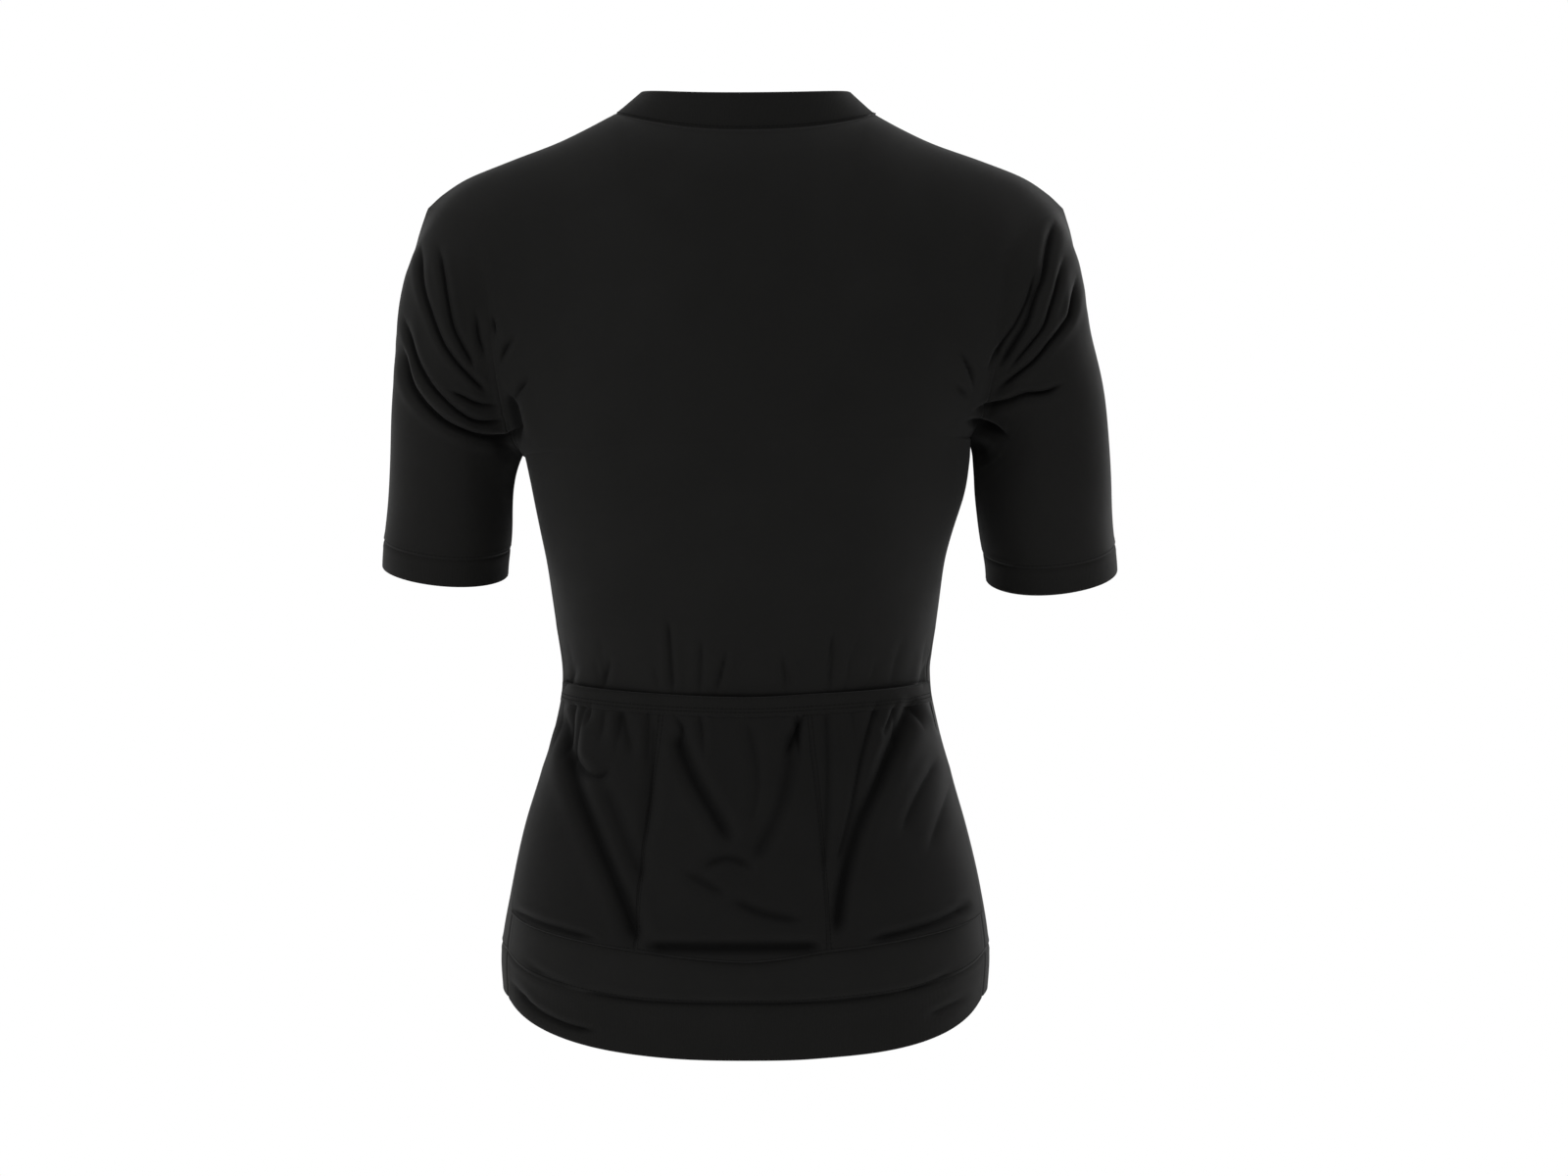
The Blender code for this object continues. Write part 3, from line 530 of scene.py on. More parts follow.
def shared_directions(panels):
    """Outward direction at each point of each panel, the same on both sides of a seam."""
    directions = {name: grid_normals(grid) for name, grid in panels.items()}
    meeting = {}
    for name, grid in panels.items():
        for place in border_places(grid.shape):
            key = tuple(np.round(grid[place] / MERGE).astype(int))
            meeting.setdefault(key, []).append((name, place))
    for places in meeting.values():
        shared = unit(sum(directions[name][place] for name, place in places))
        for name, place in places:
            directions[name][place] = shared
    return directions


# Folds and slack --------------------

# Creases as seen from behind, on the plane through the garment's middle: depth and width in
# millimetres, then the route as x and z in millimetres. The wearer's left is +x.
BACK_FOLDS = (
    # left sleeve, out of the underarm
    (3.6, 2.1, (219, -82), (219, -111), (213, -133), (205, -153), (196, -166), (184, -179), (172, -190)),
    (3.4, 2.1, (208, -84), (204, -108), (201, -126), (197, -144), (189, -160), (181, -174)),
    (2.6, 2.0, (182, -128), (180, -150), (174, -166)),
    (2.2, 1.8, (171, -133), (168, -152)),
    (4.4, 2.1, (233, -132), (226, -161), (216, -179), (204, -192), (189, -204), (177, -208), (158, -206)),
    (5.4, 2.4, (234, -152), (229, -178), (220, -192), (207, -204), (193, -212), (177, -217), (162, -217),
     (150, -210)),
    (3.6, 2.1, (204, -184), (190, -191), (178, -196), (158, -197)),
    (6.0, 3.4, (161, -185), (156, -203), (151, -226)),
    (3.0, 4.6, (176, -224), (164, -223), (150, -225)),
    # left of the body, beside the armhole
    (3.0, 2.0, (153, -146), (162, -158), (167, -172)),
    (2.8, 2.0, (144, -173), (159, -195)),
    # right sleeve
    (4.8, 2.9, (-209, -68), (-204, -90), (-201, -108), (-195, -123), (-189, -140), (-180, -155),
     (-167, -176)),
    (3.4, 2.0, (-197, -99), (-190, -122), (-182, -140), (-172, -155), (-161, -176)),
    (3.8, 2.1, (-216, -92), (-211, -116), (-206, -131), (-201, -143), (-189, -158), (-172, -179)),
    (4.8, 2.1, (-226, -104), (-224, -131), (-217, -142), (-204, -155), (-195, -165), (-183, -175),
     (-165, -189)),
    (4.4, 2.2, (-218, -180), (-203, -187), (-188, -189), (-177, -193), (-166, -196), (-148, -203)),
    (6.4, 2.8, (-146, -207), (-162, -210), (-180, -219)),
    (2.6, 5.0, (-150, -214), (-160, -226), (-168, -240)),
    # right of the body
    (3.2, 2.0, (-142, -155), (-151, -172), (-155, -188)),
    (2.2, 2.4, (-139, -180), (-152, -192)),
    # gathers above the pockets
    (1.9, 2.2, (90, -362), (98, -391)),
    (2.0, 2.1, (53, -336), (49, -394)),
    (1.6, 2.0, (30, -348), (31, -394)),
    (2.0, 2.2, (12, -356), (21, -394)),
    (1.5, 2.4, (-24, -358), (-28, -394)),
    (1.8, 2.1, (-59, -344), (-56, -394)),
    (1.9, 2.2, (-124, -362), (-115, -391)),
    (1.7, 2.0, (113, -368), (121, -391)),
    # hem band, and the seam over it
    (3.4, 2.3, (162, -580), (145, -600), (129, -610), (116, -615), (96, -618)),
    (2.0, 2.6, (-118, -610), (-152, -593)),
    (1.7, 2.8, (112, -590), (67, -597.5), (4, -599), (-59, -597.5), (-108, -591)),
    (1.8, 2.6, (-96, -593), (-122, -586), (-146, -574)),
    (1.6, 2.6, (152, -568), (134, -581), (110, -590)),
)
POCKET_FOLDS = (
    # left pocket
    (5.2, 4.6, (119, -400), (116, -432), (107, -464), (95, -497), (82, -530), (71, -562)),
    (3.6, 3.2, (118, -424), (107, -442), (96, -447), (86, -438)),
    (2.8, 4.8, (97, -444), (82, -484), (67, -522)),
    (2.4, 3.4, (84, -396), (74, -436)),
    (1.8, 3.4, (61, -404), (63, -450), (67, -496)),
    (2.2, 2.6, (100, -394), (104, -416)),
    # middle pocket
    (3.0, 2.4, (49, -402), (42, -415), (46, -430)),
    (4.6, 4.4, (47, -414), (38, -441), (26, -464), (6, -498)),
    (3.0, 5.4, (-32, -404), (-28, -444), (-19, -477), (-2, -508)),
    (1.8, 4.0, (0, -402), (-8, -450), (-2, -486)),
    (3.2, 2.8, (-42, -398), (-24, -436)),
    (3.0, 3.6, (34, -512), (12, -502), (-10, -512)),
    (2.6, 3.8, (46, -508), (8, -529)),
    (3.2, 3.8, (12, -528), (-12, -539), (-44, -545)),
    (5.2, 4.0, (72, -560), (7, -561), (-56, -560)),
    # right pocket
    (6.0, 4.4, (-112, -392), (-101, -414), (-88, -447), (-75, -480), (-65, -517), (-60, -558)),
    (3.6, 2.9, (-88, -392), (-79, -424), (-69, -471), (-59, -510)),
    (2.4, 3.4, (-54, -396), (-55, -451), (-53, -516)),
    (3.6, 2.6, (-100, -392), (-88, -424)),
    (2.2, 3.2, (-127, -432), (-113, -458), (-100, -490)),
    (1.4, 3.0, (-136, -448), (-127, -474), (-118, -500)),
    # the sides of the pockets' foot
    (3.6, 3.0, (160, -534), (133, -546), (94, -557)),
    (4.2, 3.4, (-150, -532), (-122, -546), (-76, -558)),
)
# The front is hidden in the photo. Its folds are of the same kinds, as seen from in front.
FRONT_FOLDS = (
    # left sleeve
    (3.6, 3.4, (222, -92), (216, -120), (204, -146), (188, -168), (166, -184)),
    (3.3, 3.0, (206, -84), (198, -112), (188, -138), (174, -160), (160, -172)),
    (4.5, 3.4, (233, -140), (222, -164), (206, -182), (184, -196), (160, -202)),
    (4.8, 3.4, (230, -176), (214, -196), (190, -210), (158, -216)),
    (2.7, 2.7, (236, -212), (218, -220), (196, -224), (172, -222)),
    (3.6, 4.0, (164, -184), (160, -204), (156, -224)),
    # right sleeve
    (3.9, 3.4, (-216, -86), (-210, -112), (-198, -138), (-182, -160), (-162, -176)),
    (3.0, 2.7, (-200, -92), (-192, -118), (-180, -142), (-166, -160)),
    (4.2, 3.0, (-228, -124), (-218, -148), (-200, -170), (-180, -186), (-160, -194)),
    (3.9, 3.0, (-230, -168), (-212, -186), (-188, -200), (-156, -206)),
    (2.4, 2.7, (-234, -204), (-214, -212), (-190, -214)),
    (3.3, 4.0, (-162, -176), (-159, -194), (-154, -214)),
    # drag lines from the underarms over the chest
    (2.0, 4.0, (156, -206), (136, -214), (112, -218), (86, -216)),
    (1.5, 4.0, (154, -190), (136, -190), (118, -186)),
    (1.8, 4.0, (-154, -196), (-132, -204), (-108, -210), (-84, -210)),
    (1.4, 4.0, (-152, -178), (-134, -176), (-116, -172)),
    # slack at the waist
    (1.5, 4.7, (120, -352), (98, -362), (72, -366), (44, -362)),
    (1.4, 4.0, (112, -392), (88, -398), (60, -396)),
    (1.5, 4.7, (-118, -362), (-94, -370), (-68, -372), (-42, -366)),
    (1.2, 4.0, (-114, -404), (-90, -408), (-66, -406)),
    (1.4, 4.0, (142, -500), (122, -512), (98, -518)),
    (1.2, 4.0, (-144, -494), (-120, -508), (-94, -514)),
    # ripples beside the zip
    (1.0, 3.4, (10, -160), (24, -166), (40, -166)),
    (0.9, 3.4, (-10, -232), (-24, -236), (-40, -234)),
    (1.2, 3.8, (10, -318), (26, -326), (46, -326)),
    (1.0, 3.4, (-10, -390), (-26, -398), (-44, -398)),
    (1.2, 3.8, (10, -466), (28, -472), (48, -470)),
    (1.0, 3.4, (-10, -520), (-26, -528), (-44, -528)),
)

# Broad swells and hollows that shape the outline, as seen from behind: x and z of the middle, its
# radius and its depth outward, in millimetres
SWELLS = (
    (238, -165, 34, -3.4),
    (-236, -142, 40, -7.5),
    (252, -293, 26, 2.6),
    (-252, -262, 40, 2.5),
    (-254, -305, 26, 3.0),
    (-152, -252, 26, 4.0),
    (-158, -308, 22, -3.5),
    (156, -306, 22, -1.6),
)
ROUTE_STEP = 0.5 * MM
CREASE_REACH = 5.0
CREASE_TAPER = 16 * MM
# A crease is a soft trough with a tight line at its bottom and a low rise on both sides. A narrow
# crease is mostly line, a wide one mostly trough.
CRISP_WIDTH, SOFT_WIDTH = 2.4 * MM, 4.6 * MM
LINE = {"crisp": 0.72, "soft": 0.22, "width": 0.44, "tip": 0.35}
TROUGH_WIDTH = 1.25
# Its wall is steeper on the side that this direction points to, in x and z
STEEP_SIDE = np.array((0.8, 0.6))
STEEP, GENTLE = 1.1, 0.85
RISE, RISE_AT, RISE_WIDTH = 0.18, 2.3, 1.3
FACING_START, FACING_SPAN = -0.25, 0.42

# Small gathers that the elastic binding draws into the cloth on both sides of it: the row they start
# from and their reach up the panel, in lines, and their number, depth and width in millimetres
GATHERS = table("from reach count depth width", {
    "above": (4.04, (0.08, 0.24), 5, (0.3, 1.0), (1.4, 2.8)),
    "below": (2.98, (-0.30, -0.12), 7, (0.8, 2.4), (1.6, 2.6)),
})
GATHER_ROUTE = (-0.35, 0.0, 0.5, 1.0)
GATHER_SWAY = 0.035
GATHER_SPAN = 0.86
GATHER_SEED = 11

SLACK_SEED = 5
SLACK_WAVES = 9
SLACK_LENGTHS = (0.07, 0.19)
SLACK_DEPTH = 0.55 * MM
SLACK_ZIP_HOLD = 18 * MM


def seen_from(points, face):
    """x and z where each point is seen on the plane through the garment's middle."""
    stand = CAMERA_DISTANCE if face == "back" else -CAMERA_DISTANCE
    scale = stand / (stand - points[..., 1])
    height = CAMERA_HEIGHT + (points[..., 2] - CAMERA_HEIGHT) * scale
    return np.stack((points[..., 0] * scale, height), axis=-1)


def crease(seen, depth, width, route):
    """How far one crease moves each seen place."""
    points = np.array(route, float)
    count = max(int(np.sum(np.linalg.norm(np.diff(points, axis=0), axis=1)) / ROUTE_STEP), 2)
    line = along_table(points, np.arange(count + 1) / count)
    way = unit(np.gradient(line, axis=0))
    moves = np.zeros(len(seen))
    reach = CREASE_REACH * width
    near = np.all((seen > line.min(axis=0) - reach) & (seen < line.max(axis=0) + reach), axis=1)
    if not near.any():
        return moves
    apart = seen[near][:, None] - line[None]
    nearest = np.argmin(np.sum(apart ** 2, axis=2), axis=1)
    offset = apart[np.arange(len(nearest)), nearest]
    beside = np.stack((-way[:, 1], way[:, 0]), axis=1)
    beside *= np.sign(np.mean(beside @ STEEP_SIDE))
    across = np.sum(offset * beside[nearest], axis=1) / width
    across = across * np.where(across > 0, STEEP, GENTLE)
    line_shape = np.exp(LINE["tip"] - np.hypot(across / LINE["width"], LINE["tip"]))
    trough = np.exp(-(across / TROUGH_WIDTH) ** 2)
    rise = RISE * np.exp(-((np.abs(across) - RISE_AT) / RISE_WIDTH) ** 2)
    softness = smooth_step((width - CRISP_WIDTH) / (SOFT_WIDTH - CRISP_WIDTH))
    share = mix(LINE["crisp"], LINE["soft"], softness)
    taper = min(CREASE_TAPER / (count * ROUTE_STEP), 0.5)
    place = nearest / count
    fade = smooth_step(place / taper) * smooth_step((1 - place) / taper)
    moves[near] = depth * fade * (rise - (1 - share) * trough - share * line_shape)
    return moves


def creases(points, directions, face, folds):
    """How far a list of folds, given as seen from one side, moves each point outward."""
    sign = 1 if face == "back" else -1
    facing = smooth_step((sign * directions[..., 1] - FACING_START) / FACING_SPAN)
    seen = seen_from(points, face).reshape(-1, 2)
    total = sum(crease(seen, depth * MM, width * MM, np.array(route) * MM)
                for depth, width, *route in folds)
    return total.reshape(facing.shape) * facing


def swells(points):
    seen = seen_from(points, "back") / MM
    return MM * sum(depth * np.exp(-((seen[..., 0] - x) ** 2 + (seen[..., 1] - z) ** 2) / radius ** 2)
                    for x, z, radius, depth in SWELLS)


def gathers(kind):
    """Short creases that run up or down from the pocket binding, as folds seen from behind."""
    rule = GATHERS[kind]
    rng = np.random.default_rng(GATHER_SEED + len(kind) + rule["count"])
    folds = []
    for side in SIDES:
        sign = 1 if side == "left" else -1
        for i in range(rule["count"]):
            u = GATHER_SPAN * (i + rng.uniform(0.0, 1.0)) / rule["count"]
            sway = rng.uniform(-GATHER_SWAY, GATHER_SWAY)
            reach = rng.uniform(*rule["reach"])
            route = []
            for share in GATHER_ROUTE:
                place = np.array((np.clip(u + sway * share, 0, 1),))
                point = panel_row("back", side, place, rule["from"] + reach * share)
                route.append(seen_from(point * np.array((sign, 1, 1)), "back")[0] / MM)
            folds.append((rng.uniform(*rule["depth"]), rng.uniform(*rule["width"]), *route))
    return tuple(folds)


def slack(points):
    """Soft, uneven swell of cloth between its seams."""
    rng = np.random.default_rng(SLACK_SEED)
    total = np.zeros(points.shape[:-1])
    for _ in range(SLACK_WAVES):
        way = unit(rng.normal(size=3))
        wave = 2 * math.pi / rng.uniform(*SLACK_LENGTHS)
        total += np.sin(points @ way * wave + rng.uniform(0, 2 * math.pi))
    beside_zip = np.exp(-(points[..., 0] / SLACK_ZIP_HOLD) ** 2) * (points[..., 1] < 0)
    return total * (1 - beside_zip) * SLACK_DEPTH / math.sqrt(SLACK_WAVES)


# Walls of cloth --------------------

EDGES = ("bottom", "top", "left", "right")
MAP = "cloth_map"
# How deep in a fold each point lies, as a point attribute from which the cloth paints shade into its colour
FOLD_SHADE_ATTRIBUTE = "sunk"


def lengths(grid, axis=0):
    """Length along a grid or a path from its first row, column or point to each point."""
    steps = np.linalg.norm(np.diff(grid, axis=axis), axis=-1)
    return np.insert(np.cumsum(steps, axis=axis), 0, 0.0, axis=axis)


def edge_distances(grid):
    up, over = lengths(grid, 0), lengths(grid, 1)
    return {"bottom": up, "top": up[-1:] - up, "left": over, "right": over[:, -1:] - over}


def inland(grid):
    """How far a place is from every edge, from 0 at an edge to 1 where folds have their full depth."""
    return smooth_step(np.min(list(edge_distances(grid).values()), axis=0) / DENT["fade"])


def seam_moves(grid, free):
    """Groove along a panel's sewn edges, and the low ridge of the layers under it."""
    away = edge_distances(grid)
    nearest = np.min([away[edge] for edge in EDGES if edge not in free], axis=0)
    sunk = -GROOVE["depth"] * np.exp(-(nearest / GROOVE["width"]) ** 2)
    ridge = GROOVE["ridge"] * np.exp(-((nearest - GROOVE["ridge_at"]) / GROOVE["ridge_width"]) ** 2)
    on_arm = smooth_step((np.abs(grid[..., 0]) - FLAT_SEAM["from"]) / FLAT_SEAM["span"])
    high = smooth_step((grid[..., 2] - FLAT_SEAM["low"]) / FLAT_SEAM["rise"])
    return (sunk + ridge) * (1 - FLAT_SEAM["share"] * on_arm * high)


def edge_steps(grid, free):
    """Direction straight off the cloth at each point of its free edges, and nothing elsewhere."""
    off = np.zeros_like(grid)
    for edge, here, beside in (("bottom", 0, 1), ("top", -1, -2)):
        if edge in free:
            off[here] += unit(grid[here] - grid[beside])
    for edge, here, beside in (("left", 0, 1), ("right", -1, -2)):
        if edge in free:
            off[:, here] += unit(grid[:, here] - grid[:, beside])
    return off / np.maximum(np.linalg.norm(off, axis=2, keepdims=True), 1)


def add_object(name, data):
    holder = bpy.data.objects.new(name, data)
    bpy.context.scene.collection.objects.link(holder)
    return holder


def add_mesh(name, points, faces, material, uv=None, sharp=None, sunk=None):
    """Smooth mesh object. Edges that join points of the same flag above 0 in sharp stay crisp, and sunk is
    how deep in a fold each point lies, from which the cloth paints shade into its colour."""
    mesh = bpy.data.meshes.new(name)
    mesh.from_pydata(points.tolist(), [], faces)
    mesh.shade_smooth()
    if sharp is not None:
        ends = np.empty(2 * len(mesh.edges), int)
        mesh.edges.foreach_get("vertices", ends)
        a, b = sharp[ends.reshape(-1, 2)].T
        mesh.edges.foreach_set("use_edge_sharp", (a > 0) & (a == b))
    if uv is not None:
        corners = np.empty(len(mesh.loops), int)
        mesh.loops.foreach_get("vertex_index", corners)
        mesh.uv_layers.new(name=MAP).data.foreach_set("uv", uv[corners].ravel().astype(np.float32))
    if sunk is not None:
        depths = mesh.attributes.new(name=FOLD_SHADE_ATTRIBUTE, type="FLOAT", domain="POINT")
        depths.data.foreach_set("value", sunk.astype(np.float32))
    mesh.materials.append(material)
    return add_object(name, mesh)


def quads(numbers, points=None):
    """Faces of a grid of point numbers. With points, each starts where its shorter diagonal does."""
    a, b, e, d = numbers[:-1, :-1], numbers[:-1, 1:], numbers[1:, 1:], numbers[1:, :-1]
    faces = np.stack((a, b, e, d), axis=-1).reshape(-1, 4)
    if points is not None:
        first, second = (np.linalg.norm(points[faces[:, k]] - points[faces[:, k + 2]], axis=1)
                         for k in (0, 1))
        turned = second < first
        faces[turned] = np.roll(faces[turned], -1, axis=1)
    return faces.tolist()


def deepest_near(moves):
    """How far each point lies over the lowest fold near enough to come through the coarse inner skin."""
    reach = INNER_SKIN_STEP - 1
    padded = np.pad(moves, reach, mode="edge")
    windows = np.lib.stride_tricks.sliding_window_view(padded, (2 * reach + 1,) * 2)
    return moves - windows.min(axis=(2, 3))


def add_shell(name, outer, out, thickness, free, material, moves=None, darker=1.0):
    """Closed wall of cloth under a grid, with rounded free edges. moves are its folds, and darker is how
    much of their depth goes into the shade painted into the cloth's colour at the bottom of its folds."""
    rows, columns = outer.shape[:2]
    count = rows * columns
    flat, outward = outer.reshape(-1, 3), out.reshape(-1, 3)
    loop = np.array(border_places(outer.shape))
    border = loop[:, 0] * columns + loop[:, 1]
    off = edge_steps(outer, free).reshape(-1, 3)[border]
    middle = (flat - outward * thickness / 2)[border]
    rims = [middle + thickness / 2 * (outward[border] * math.cos(turn) + off * math.sin(turn))
            for turn in np.radians(RIM_TURNS)]
    # The inner skin keeps only some rows and columns
    kept = [np.unique(np.append(np.arange(0, n, INNER_SKIN_STEP), n - 1)) for n in (rows, columns)]
    coarse = kept[0][:, None] * columns + kept[1][None]
    inner_start = count + len(rims) * len(border)
    nearest = [np.searchsorted(k, np.arange(k[-1] + 1), side="right") - 1 for k in kept]
    inner_border = inner_start + nearest[0][loop[:, 0]] * len(kept[1]) + nearest[1][loop[:, 1]]
    inner_skin = inner_start + np.arange(coarse.size).reshape(coarse.shape)
    faces = quads(np.arange(count).reshape(rows, columns), flat) + quads(inner_skin[:, ::-1])
    layers = [border] + [count + k * len(border) + np.arange(len(border)) for k in range(len(rims))]
    layers.append(inner_border)
    for upper, lower in zip(layers, layers[1:]):
        for a, b, e, d in zip(np.roll(upper, -1), upper, lower, np.roll(lower, -1)):
            faces.append((a, b, e) if e == d else (a, b, e, d))
    depth = np.full((rows, columns), thickness)
    if moves is not None:
        depth += deepest_near(moves)
    points = np.concatenate([flat] + rims + [(flat - outward * depth.reshape(-1, 1))[coarse.ravel()]])
    over = lengths(outer, 1)
    chart = np.stack((over - over[:, columns // 2, None], lengths(outer, 0)), axis=-1).reshape(-1, 2)
    uv = np.concatenate([chart] + [chart[border]] * len(rims) + [chart[coarse.ravel()]])
    sewn = np.zeros((rows, columns), int)
    for edge, span in zip(EDGES, (np.s_[0], np.s_[-1], np.s_[:, 0], np.s_[:, -1])):
        if edge not in free:
            sewn[span] = 1
    # Painted shade: how much the bottom of each fold is darkened in the cloth's colour
    sunk = np.zeros(len(points))
    if moves is not None:
        sunk[:count] = np.clip((-moves.ravel() * darker - SHADE_FROM_DEPTH) / SHADE_DEPTH_SPAN, 0, 1)
    skipped = np.zeros(len(rims) * len(border), int)
    sharp = np.concatenate((sewn.ravel(), skipped, 2 * sewn.ravel()[coarse.ravel()]))
    return add_mesh(name, points, faces, material, uv, sharp, sunk)


# Rings of a rod: place from its nearer end and width, both in radii. Ways steeper than upright need
# another direction to set their sides out from.
CAPSULE_RINGS = ((0.3, 0.7), (1.0, 1.0), (-1.0, 1.0), (-0.3, 0.7))
CAPSULE_UPRIGHT = 0.8


def add_capsules(name, starts, ends, radius, sides, material):
    """Round-ended rods, such as stitches or zip teeth, as one mesh."""
    way = ends - starts
    length = np.linalg.norm(way, axis=1)
    way = way / length[:, None]
    upright = np.abs(way[:, 2:]) > CAPSULE_UPRIGHT
    helper = np.where(upright, np.array((1.0, 0.0, 0.0)), np.array((0.0, 0.0, 1.0)))
    side = unit(np.cross(way, helper))
    over = np.cross(side, way)
    turns = 2 * math.pi * np.arange(sides) / sides
    parts = [starts[:, None]]
    for step, wide in CAPSULE_RINGS:
        place = np.where(step > 0, step * radius, length + step * radius)
        centre = starts + way * place[:, None]
        ring = (side[:, None] * np.cos(turns)[None, :, None]
                + over[:, None] * np.sin(turns)[None, :, None])
        parts.append(centre[:, None] + ring * radius * wide)
    parts.append(ends[:, None])
    points = np.concatenate(parts, axis=1)
    each = points.shape[1]
    faces = []
    for k in range(sides):
        after = (k + 1) % sides
        faces.append((0, 1 + after, 1 + k))
        for r in range(len(CAPSULE_RINGS) - 1):
            low, high = 1 + r * sides, 1 + (r + 1) * sides
            faces.append((low + k, low + after, high + after, high + k))
        last = 1 + (len(CAPSULE_RINGS) - 1) * sides
        faces.append((last + k, last + after, each - 1))
    every = [tuple(i * each + v for v in face) for i in range(len(starts)) for face in faces]
    return add_mesh(name, points.reshape(-1, 3), every, material)


def line_beside(surface, out, edge, distance):
    """Points and directions of the line that runs beside one edge of a panel."""
    away = edge_distances(surface)[edge]
    if edge in ("left", "right"):
        away, surface, out = away.T, surface.swapaxes(0, 1), out.swapaxes(0, 1)
    if edge in ("top", "right"):
        away, surface, out = away[::-1], surface[::-1], out[::-1]
    return [np.array([[np.interp(distance, away[:, c], values[:, c, k]) for k in range(3)]
                      for c in range(away.shape[1])]) for values in (surface, out)]


def at_lengths(points, values, places):
    """Values at distances along a path of points."""
    along = lengths(points)
    return np.stack([np.interp(places, along, values[:, k]) for k in range(3)], axis=1)


def stitch_ends(points, out):
    """Starts and ends of the stitches along a line."""
    pitch = STITCH["pitch"]
    first = np.arange(pitch / 2, lengths(points)[-1] - pitch, pitch)
    lifted = points + out * STITCH["rise"]
    return at_lengths(points, lifted, first), at_lengths(points, lifted, first + STITCH["length"])


# Small hard parts --------------------

LOOP_POINTS = 56
PLATE_TURNS = (90, 60, 30, 0)
BAR_SIDES, BAR_POWER = 16, 0.6
BEVEL_STEPS = 3
SHARP_ANGLE = 50


def squared(turns, power):
    """Cosine and sine of each turn, drawn out towards a square as the power drops below 1."""
    return (np.sign(f(turns)) * np.abs(f(turns)) ** power for f in (np.cos, np.sin))


def round_loop(half_width, low, high, power):
    """Rounded rectangle in X and Z as a loop of points."""
    turns = 2 * math.pi * np.arange(LOOP_POINTS) / LOOP_POINTS
    x, z = squared(turns, 2 / power)
    return np.stack((x * half_width, (low + high) / 2 + z * (high - low) / 2), axis=1)


def tube_faces(rings, size, closed):
    """Faces between rings of points numbered one ring after another."""
    numbers = np.arange(rings * size).reshape(rings, size)
    numbers = np.concatenate((numbers, numbers[:, :1]), axis=1)
    if closed:
        return quads(np.concatenate((numbers, numbers[:1])))
    return quads(numbers) + [tuple(numbers[0, :-1].tolist()), tuple(numbers[-1, -2::-1].tolist())]


def plate(loop, hole, thickness, rounding):
    """Points and faces of a flat plate with rounded edges, thick along Y."""
    turns = np.radians(PLATE_TURNS)
    # Step in from the outline, height from where the rounding starts, and face. Both rings that have no
    # height lie on the low face's side.
    steps = [(1 - math.cos(turn), -math.sin(turn), -1) for turn in turns]
    steps += [(1 - math.cos(turn), math.sin(turn), 1 if turn else -1) for turn in turns[::-1]]
    rings = []
    for outline, inward in ((loop, 1), (hole, -1)):
        if outline is None:
            continue
        way = unit(np.roll(outline, -1, axis=0) - np.roll(outline, 1, axis=0))
        normal = inward * np.stack((-way[:, 1], way[:, 0]), axis=1)
        for step, height, face in steps[::inward]:
            y = height * rounding + face * (thickness / 2 - rounding)
            flat = outline + normal * step * rounding
            rings.append(np.stack((flat[:, 0], np.full(len(flat), y), flat[:, 1]), axis=1))
    return np.concatenate(rings), tube_faces(len(rings), len(loop), hole is not None)


def bent_bar(path, half_width, half_thickness):
    """Points and faces of a flat bar with rounded sides along a path of Y and Z."""
    way = unit(np.gradient(path, axis=0))
    across, beside = squared(2 * math.pi * np.arange(BAR_SIDES) / BAR_SIDES, BAR_POWER)
    half = beside * half_thickness
    rings = [np.stack((across * half_width, y - half * step[1], z + half * step[0]), axis=1)
             for (y, z), step in zip(path, way)]
    return np.concatenate(rings), tube_faces(len(rings), BAR_SIDES, False)


def block(size, centre, rounding):
    """Points and faces of a block with rounded edges."""
    shape = bmesh.new()
    bmesh.ops.create_cube(shape, size=1.0)
    bmesh.ops.scale(shape, vec=size, verts=shape.verts)
    bmesh.ops.bevel(shape, geom=shape.edges[:], offset=rounding, segments=BEVEL_STEPS, profile=0.5,
                    affect="EDGES")
    shape.verts.index_update()
    points = np.array([v.co[:] for v in shape.verts]) + centre
    faces = [tuple(v.index for v in face.verts) for face in shape.faces]
    shape.free()
    return points, faces


def add_parts(name, parts, material, origin, up):
    """One mesh of closed parts, given across, into the cloth and up from an origin on the zip."""
    points, faces = [], []
    for part_points, part_faces in parts:
        faces += [tuple(len(points) + v for v in face) for face in part_faces]
        points += list(part_points)
    axes = np.array(((1.0, 0.0, 0.0), np.cross(up, (1.0, 0.0, 0.0)), up))
    piece = add_mesh(name, origin + np.array(points) @ axes, faces, material)
    shape = bmesh.new()
    shape.from_mesh(piece.data)
    bmesh.ops.recalc_face_normals(shape, faces=shape.faces)
    shape.to_mesh(piece.data)
    shape.free()
    piece.data.shade_smooth()
    piece.data.set_sharp_from_angle(angle=math.radians(SHARP_ANGLE))
    return piece


# Materials --------------------

FINISHES = table("colour roughness specular sheen sheen_roughness wale course relief", {
    "jersey_knit": ((0.0055, 0.0054, 0.0051), 0.66, 0.045, 0.034, 0.50, 0.75 * MM, 0.95 * MM, 0.05 * MM),
    "pocket_knit": ((0.0050, 0.0049, 0.0047), 0.68, 0.04, 0.030, 0.50, 0.75 * MM, 0.95 * MM, 0.05 * MM),
    "elastic_band": ((0.0054, 0.0053, 0.0050), 0.72, 0.04, 0.034, 0.50, 1.10 * MM, 0.0, 0.07 * MM),
    "zip_tape": ((0.0080, 0.0080, 0.0078), 0.80, 0.06, 0.05, 0.45, 0.60 * MM, 0.60 * MM, 0.05 * MM),
})
# Painted shade at the bottom of a fold: how much darker its colour is made, from what depth, and over how
# much more depth
FOLD_SHADE = 0.75
SHADE_FROM_DEPTH, SHADE_DEPTH_SPAN = 0.3 * MM, 2.0 * MM
# The pockets' folds get painted shade from only this share of their depth
POCKET_FOLD_SHADE = 0.52

